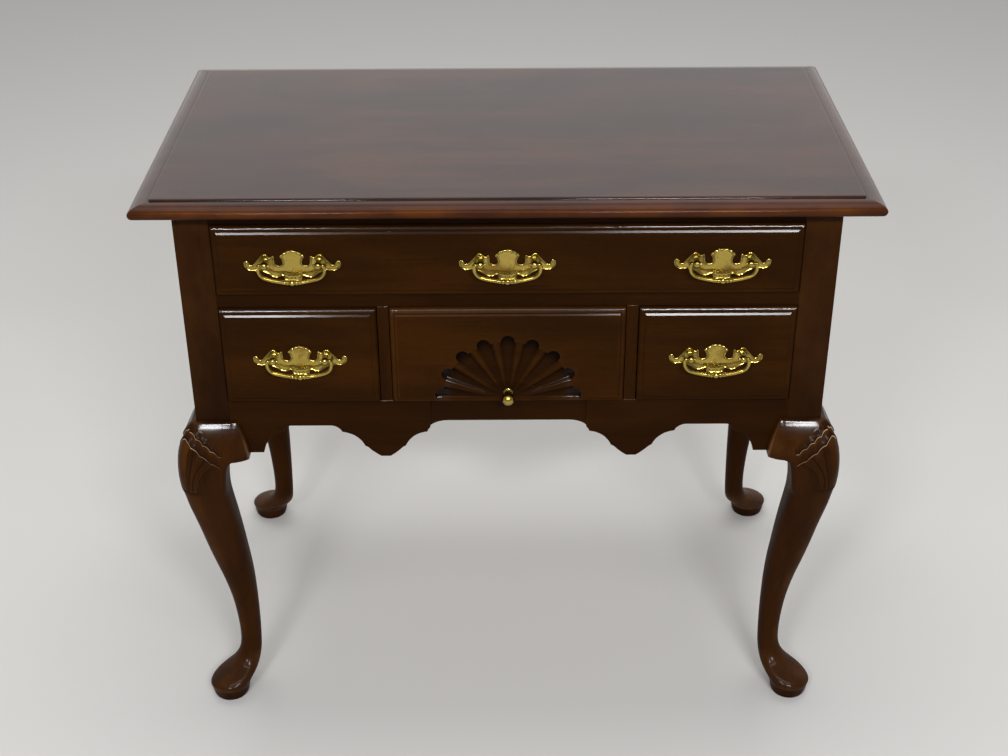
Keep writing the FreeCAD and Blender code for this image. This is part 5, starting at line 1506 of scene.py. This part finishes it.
def build_pulls():
    """Every backplate and bail, and the posts and nuts of each drawer."""
    forward = ((0.0, 0.0, 0.0), (0.0, -1.0, 0.0))
    plate, bead, rod = plate_shape(), lathe(BEAD, *forward, 16), bail_shape()
    for name, (drawer, x, z) in PULLS.items():
        build_pull(name, drawer, np.array([x, DRAWER_FACE, z]), plate, bead, rod)
    parts = (("posts_%s_turned", "pull_posts_", lathe(POST_PROFILE, *forward, 32), DRAWER_FACE, 50.0, 0.5),
             ("nuts_%s_chamfered", "pull_nuts_", nut_shape(), DRAWER_INSIDE, 30.0, 0.2))
    for short in ("top", "left", "right"):
        drawer = short + "_drawer"
        own = [(x + side * POST_HALF, z) for owner, x, z in PULLS.values() if owner == drawer
               for side in (-1, 1)]
        for title, node, part, y, smooth, worn in parts:
            points, faces = repeated_mesh(part, [(x, y, z) for x, z in own], BRASS)
            mesh_piece(title % short, points, faces, drawer, [node + short], BRASS, smooth=smooth,
                       wear_and_highlight=np.full(len(points), worn))


# ---------------------------------------------------------------- case and drawers

# the case's boards by their wood: name, way of the grain, how much its edges are taken off
CASE_BOARDS = (
    (CASE_WOOD, (("top_rail", "x", 0.5), ("middle_rail", "x", 0.5), ("apron", "x", 0.8),
                 ("divider_left", "z", 0.5), ("divider_right", "z", 0.5),
                 ("side_panel_left", "y", 0.8), ("side_panel_right", "y", 0.8))),
    (BACK_WOOD, (("back_panel", "x", 0.8),)),
    (INNER_WOOD, (("drawer_runners", "y", 0.4), ("drawer_stops", "x", 0.4), ("glue_blocks", "x", 0.4))))


def build_case():
    """The boards of the case between the legs."""
    for material, boards in CASE_BOARDS:
        for name, grain, ease in boards:
            eased_board(name, material, grain, ease)


def build_drawers():
    """The four drawers' boards; the carved front in the middle is a piece of its own."""
    for part in DRAWERS:
        if part != "centre_drawer":
            eased_board(part + "_front", FRONT_WOOD, "x", 0.6)
        for board, grain, ease in (("_side_left", "y", 0.35), ("_side_right", "y", 0.35),
                                   ("_back", "x", 0.35), ("_bottom", "x", 0.3)):
            eased_board(part + board, INNER_WOOD, grain, ease)


# ---------------------------------------------------------------- stage

FLOOR_HALF, FLOOR_COLOUR = 30000.0, (0.52, 0.505, 0.485)
WORLD_FRONT, WORLD_BACK = (0.3, 0.305, 0.315), (0.78, 0.8, 0.8)
COOL, WHITE = (0.95, 0.97, 1.0), (1.0, 1.0, 1.0)
# place, what it shines at, width, depth, power, colour; in metres and watts
LAMPS = {"soft_overhead": ((0.0, 0.5, 3.2), (0.0, 0.0, 0.5), 2.4, 1.6, 48.0, WHITE),
         "lamp_high": ((0.0, -2.2, 3.4), (0.0, -0.2, 0.5), 3.0, 0.5, 34.0, WHITE),
         "lamp_right": ((0.82, -3.2, 2.6), (0.0, -0.2, 0.55), 0.9, 0.24, 70.0, COOL),
         "lamp_left": ((-1.0, -3.2, 2.6), (0.0, -0.2, 0.55), 0.56, 0.22, 42.0, COOL)}


def build_stage():
    """A plain pale floor."""
    corners = [(x * FLOOR_HALF, y * FLOOR_HALF, 0.0) for x, y in ((-1, -1), (1, -1), (1, 1), (-1, 1))]
    mesh = outward_mesh("floor", corners, [(0, 1, 2, 3)])
    mesh.materials.append(empty_material("floor_pale", (0.8, 0.79, 0.77), {
        "Base Color": FLOOR_COLOUR, "Roughness": 0.9, "Specular IOR Level": 0.1})[0])
    floor = in_scene("floor", mesh)


def area_light(name, place, target, width, depth, power, colour):
    """A lamp with a rectangular face that shines at its target."""
    light = bpy.data.lights.new(name, "AREA")
    light.shape = "RECTANGLE"
    light.size, light.size_y = width, depth
    light.energy, light.color = power, colour
    way = Vector(target) - Vector(place)
    turn = way.to_track_quat("-Z", "Y").to_matrix().to_4x4()
    in_scene(name, light).matrix_world = Matrix.Translation(place) @ turn


def build_lights():
    """The lamps, and a world that is dim in front and bright behind."""
    for name, values in LAMPS.items():
        area_light(name, *values)
    world = bpy.data.worlds.new("studio")
    world.use_nodes = True
    tree = world.node_tree
    tree.nodes.clear()
    way = add_node(tree, "ShaderNodeTexCoord").outputs["Generated"]
    parts = add_node(tree, "ShaderNodeSeparateXYZ", {0: way})
    behind = ranged(tree, parts.outputs["Y"], -0.35, 0.55, 0.0, 1.0)
    glow = add_node(tree, "ShaderNodeBackground", {"Color": mixed(tree, behind, WORLD_FRONT, WORLD_BACK)})
    add_node(tree, "ShaderNodeOutputWorld", {"Surface": glow.outputs[0]})
    bpy.context.scene.world = world


# the camera: its place, its turns in radians, and its lens
CAMERA_PLACE = (1.78, -1881.30, 1495.15)
CAMERA_PITCH, CAMERA_YAW, CAMERA_ROLL = 0.533698734, -0.00405828, 0.0069066
CAMERA_LENS, SENSOR = 55.689, 36.0


def build_camera():
    """The camera, turned by its yaw, pitch and roll."""
    sin, cos = math.sin, math.cos
    ahead = Vector((sin(CAMERA_YAW) * cos(CAMERA_PITCH), cos(CAMERA_YAW) * cos(CAMERA_PITCH),
                    -sin(CAMERA_PITCH)))
    level = Vector((cos(CAMERA_YAW), -sin(CAMERA_YAW), 0.0))
    below = ahead.cross(level)
    right = level * cos(CAMERA_ROLL) + below * sin(CAMERA_ROLL)
    down = below * cos(CAMERA_ROLL) - level * sin(CAMERA_ROLL)
    camera = in_scene("camera", bpy.data.cameras.new("camera"))
    camera.data.lens, camera.data.sensor_width = CAMERA_LENS, SENSOR
    camera.data.clip_start, camera.data.clip_end = 0.05, 60.0
    turn = Matrix((right, -down, -ahead)).transposed().to_4x4()
    camera.matrix_world = Matrix.Translation(Vector(CAMERA_PLACE) * MM) @ turn
    bpy.context.scene.camera = camera
    bpy.context.scene.view_settings.view_transform = "Standard"


for build in (build_top_board, build_legs, build_case, build_drawers, build_centre_front, build_screws,
              build_pulls, build_knob, build_stage, build_lights, build_camera):
    build()
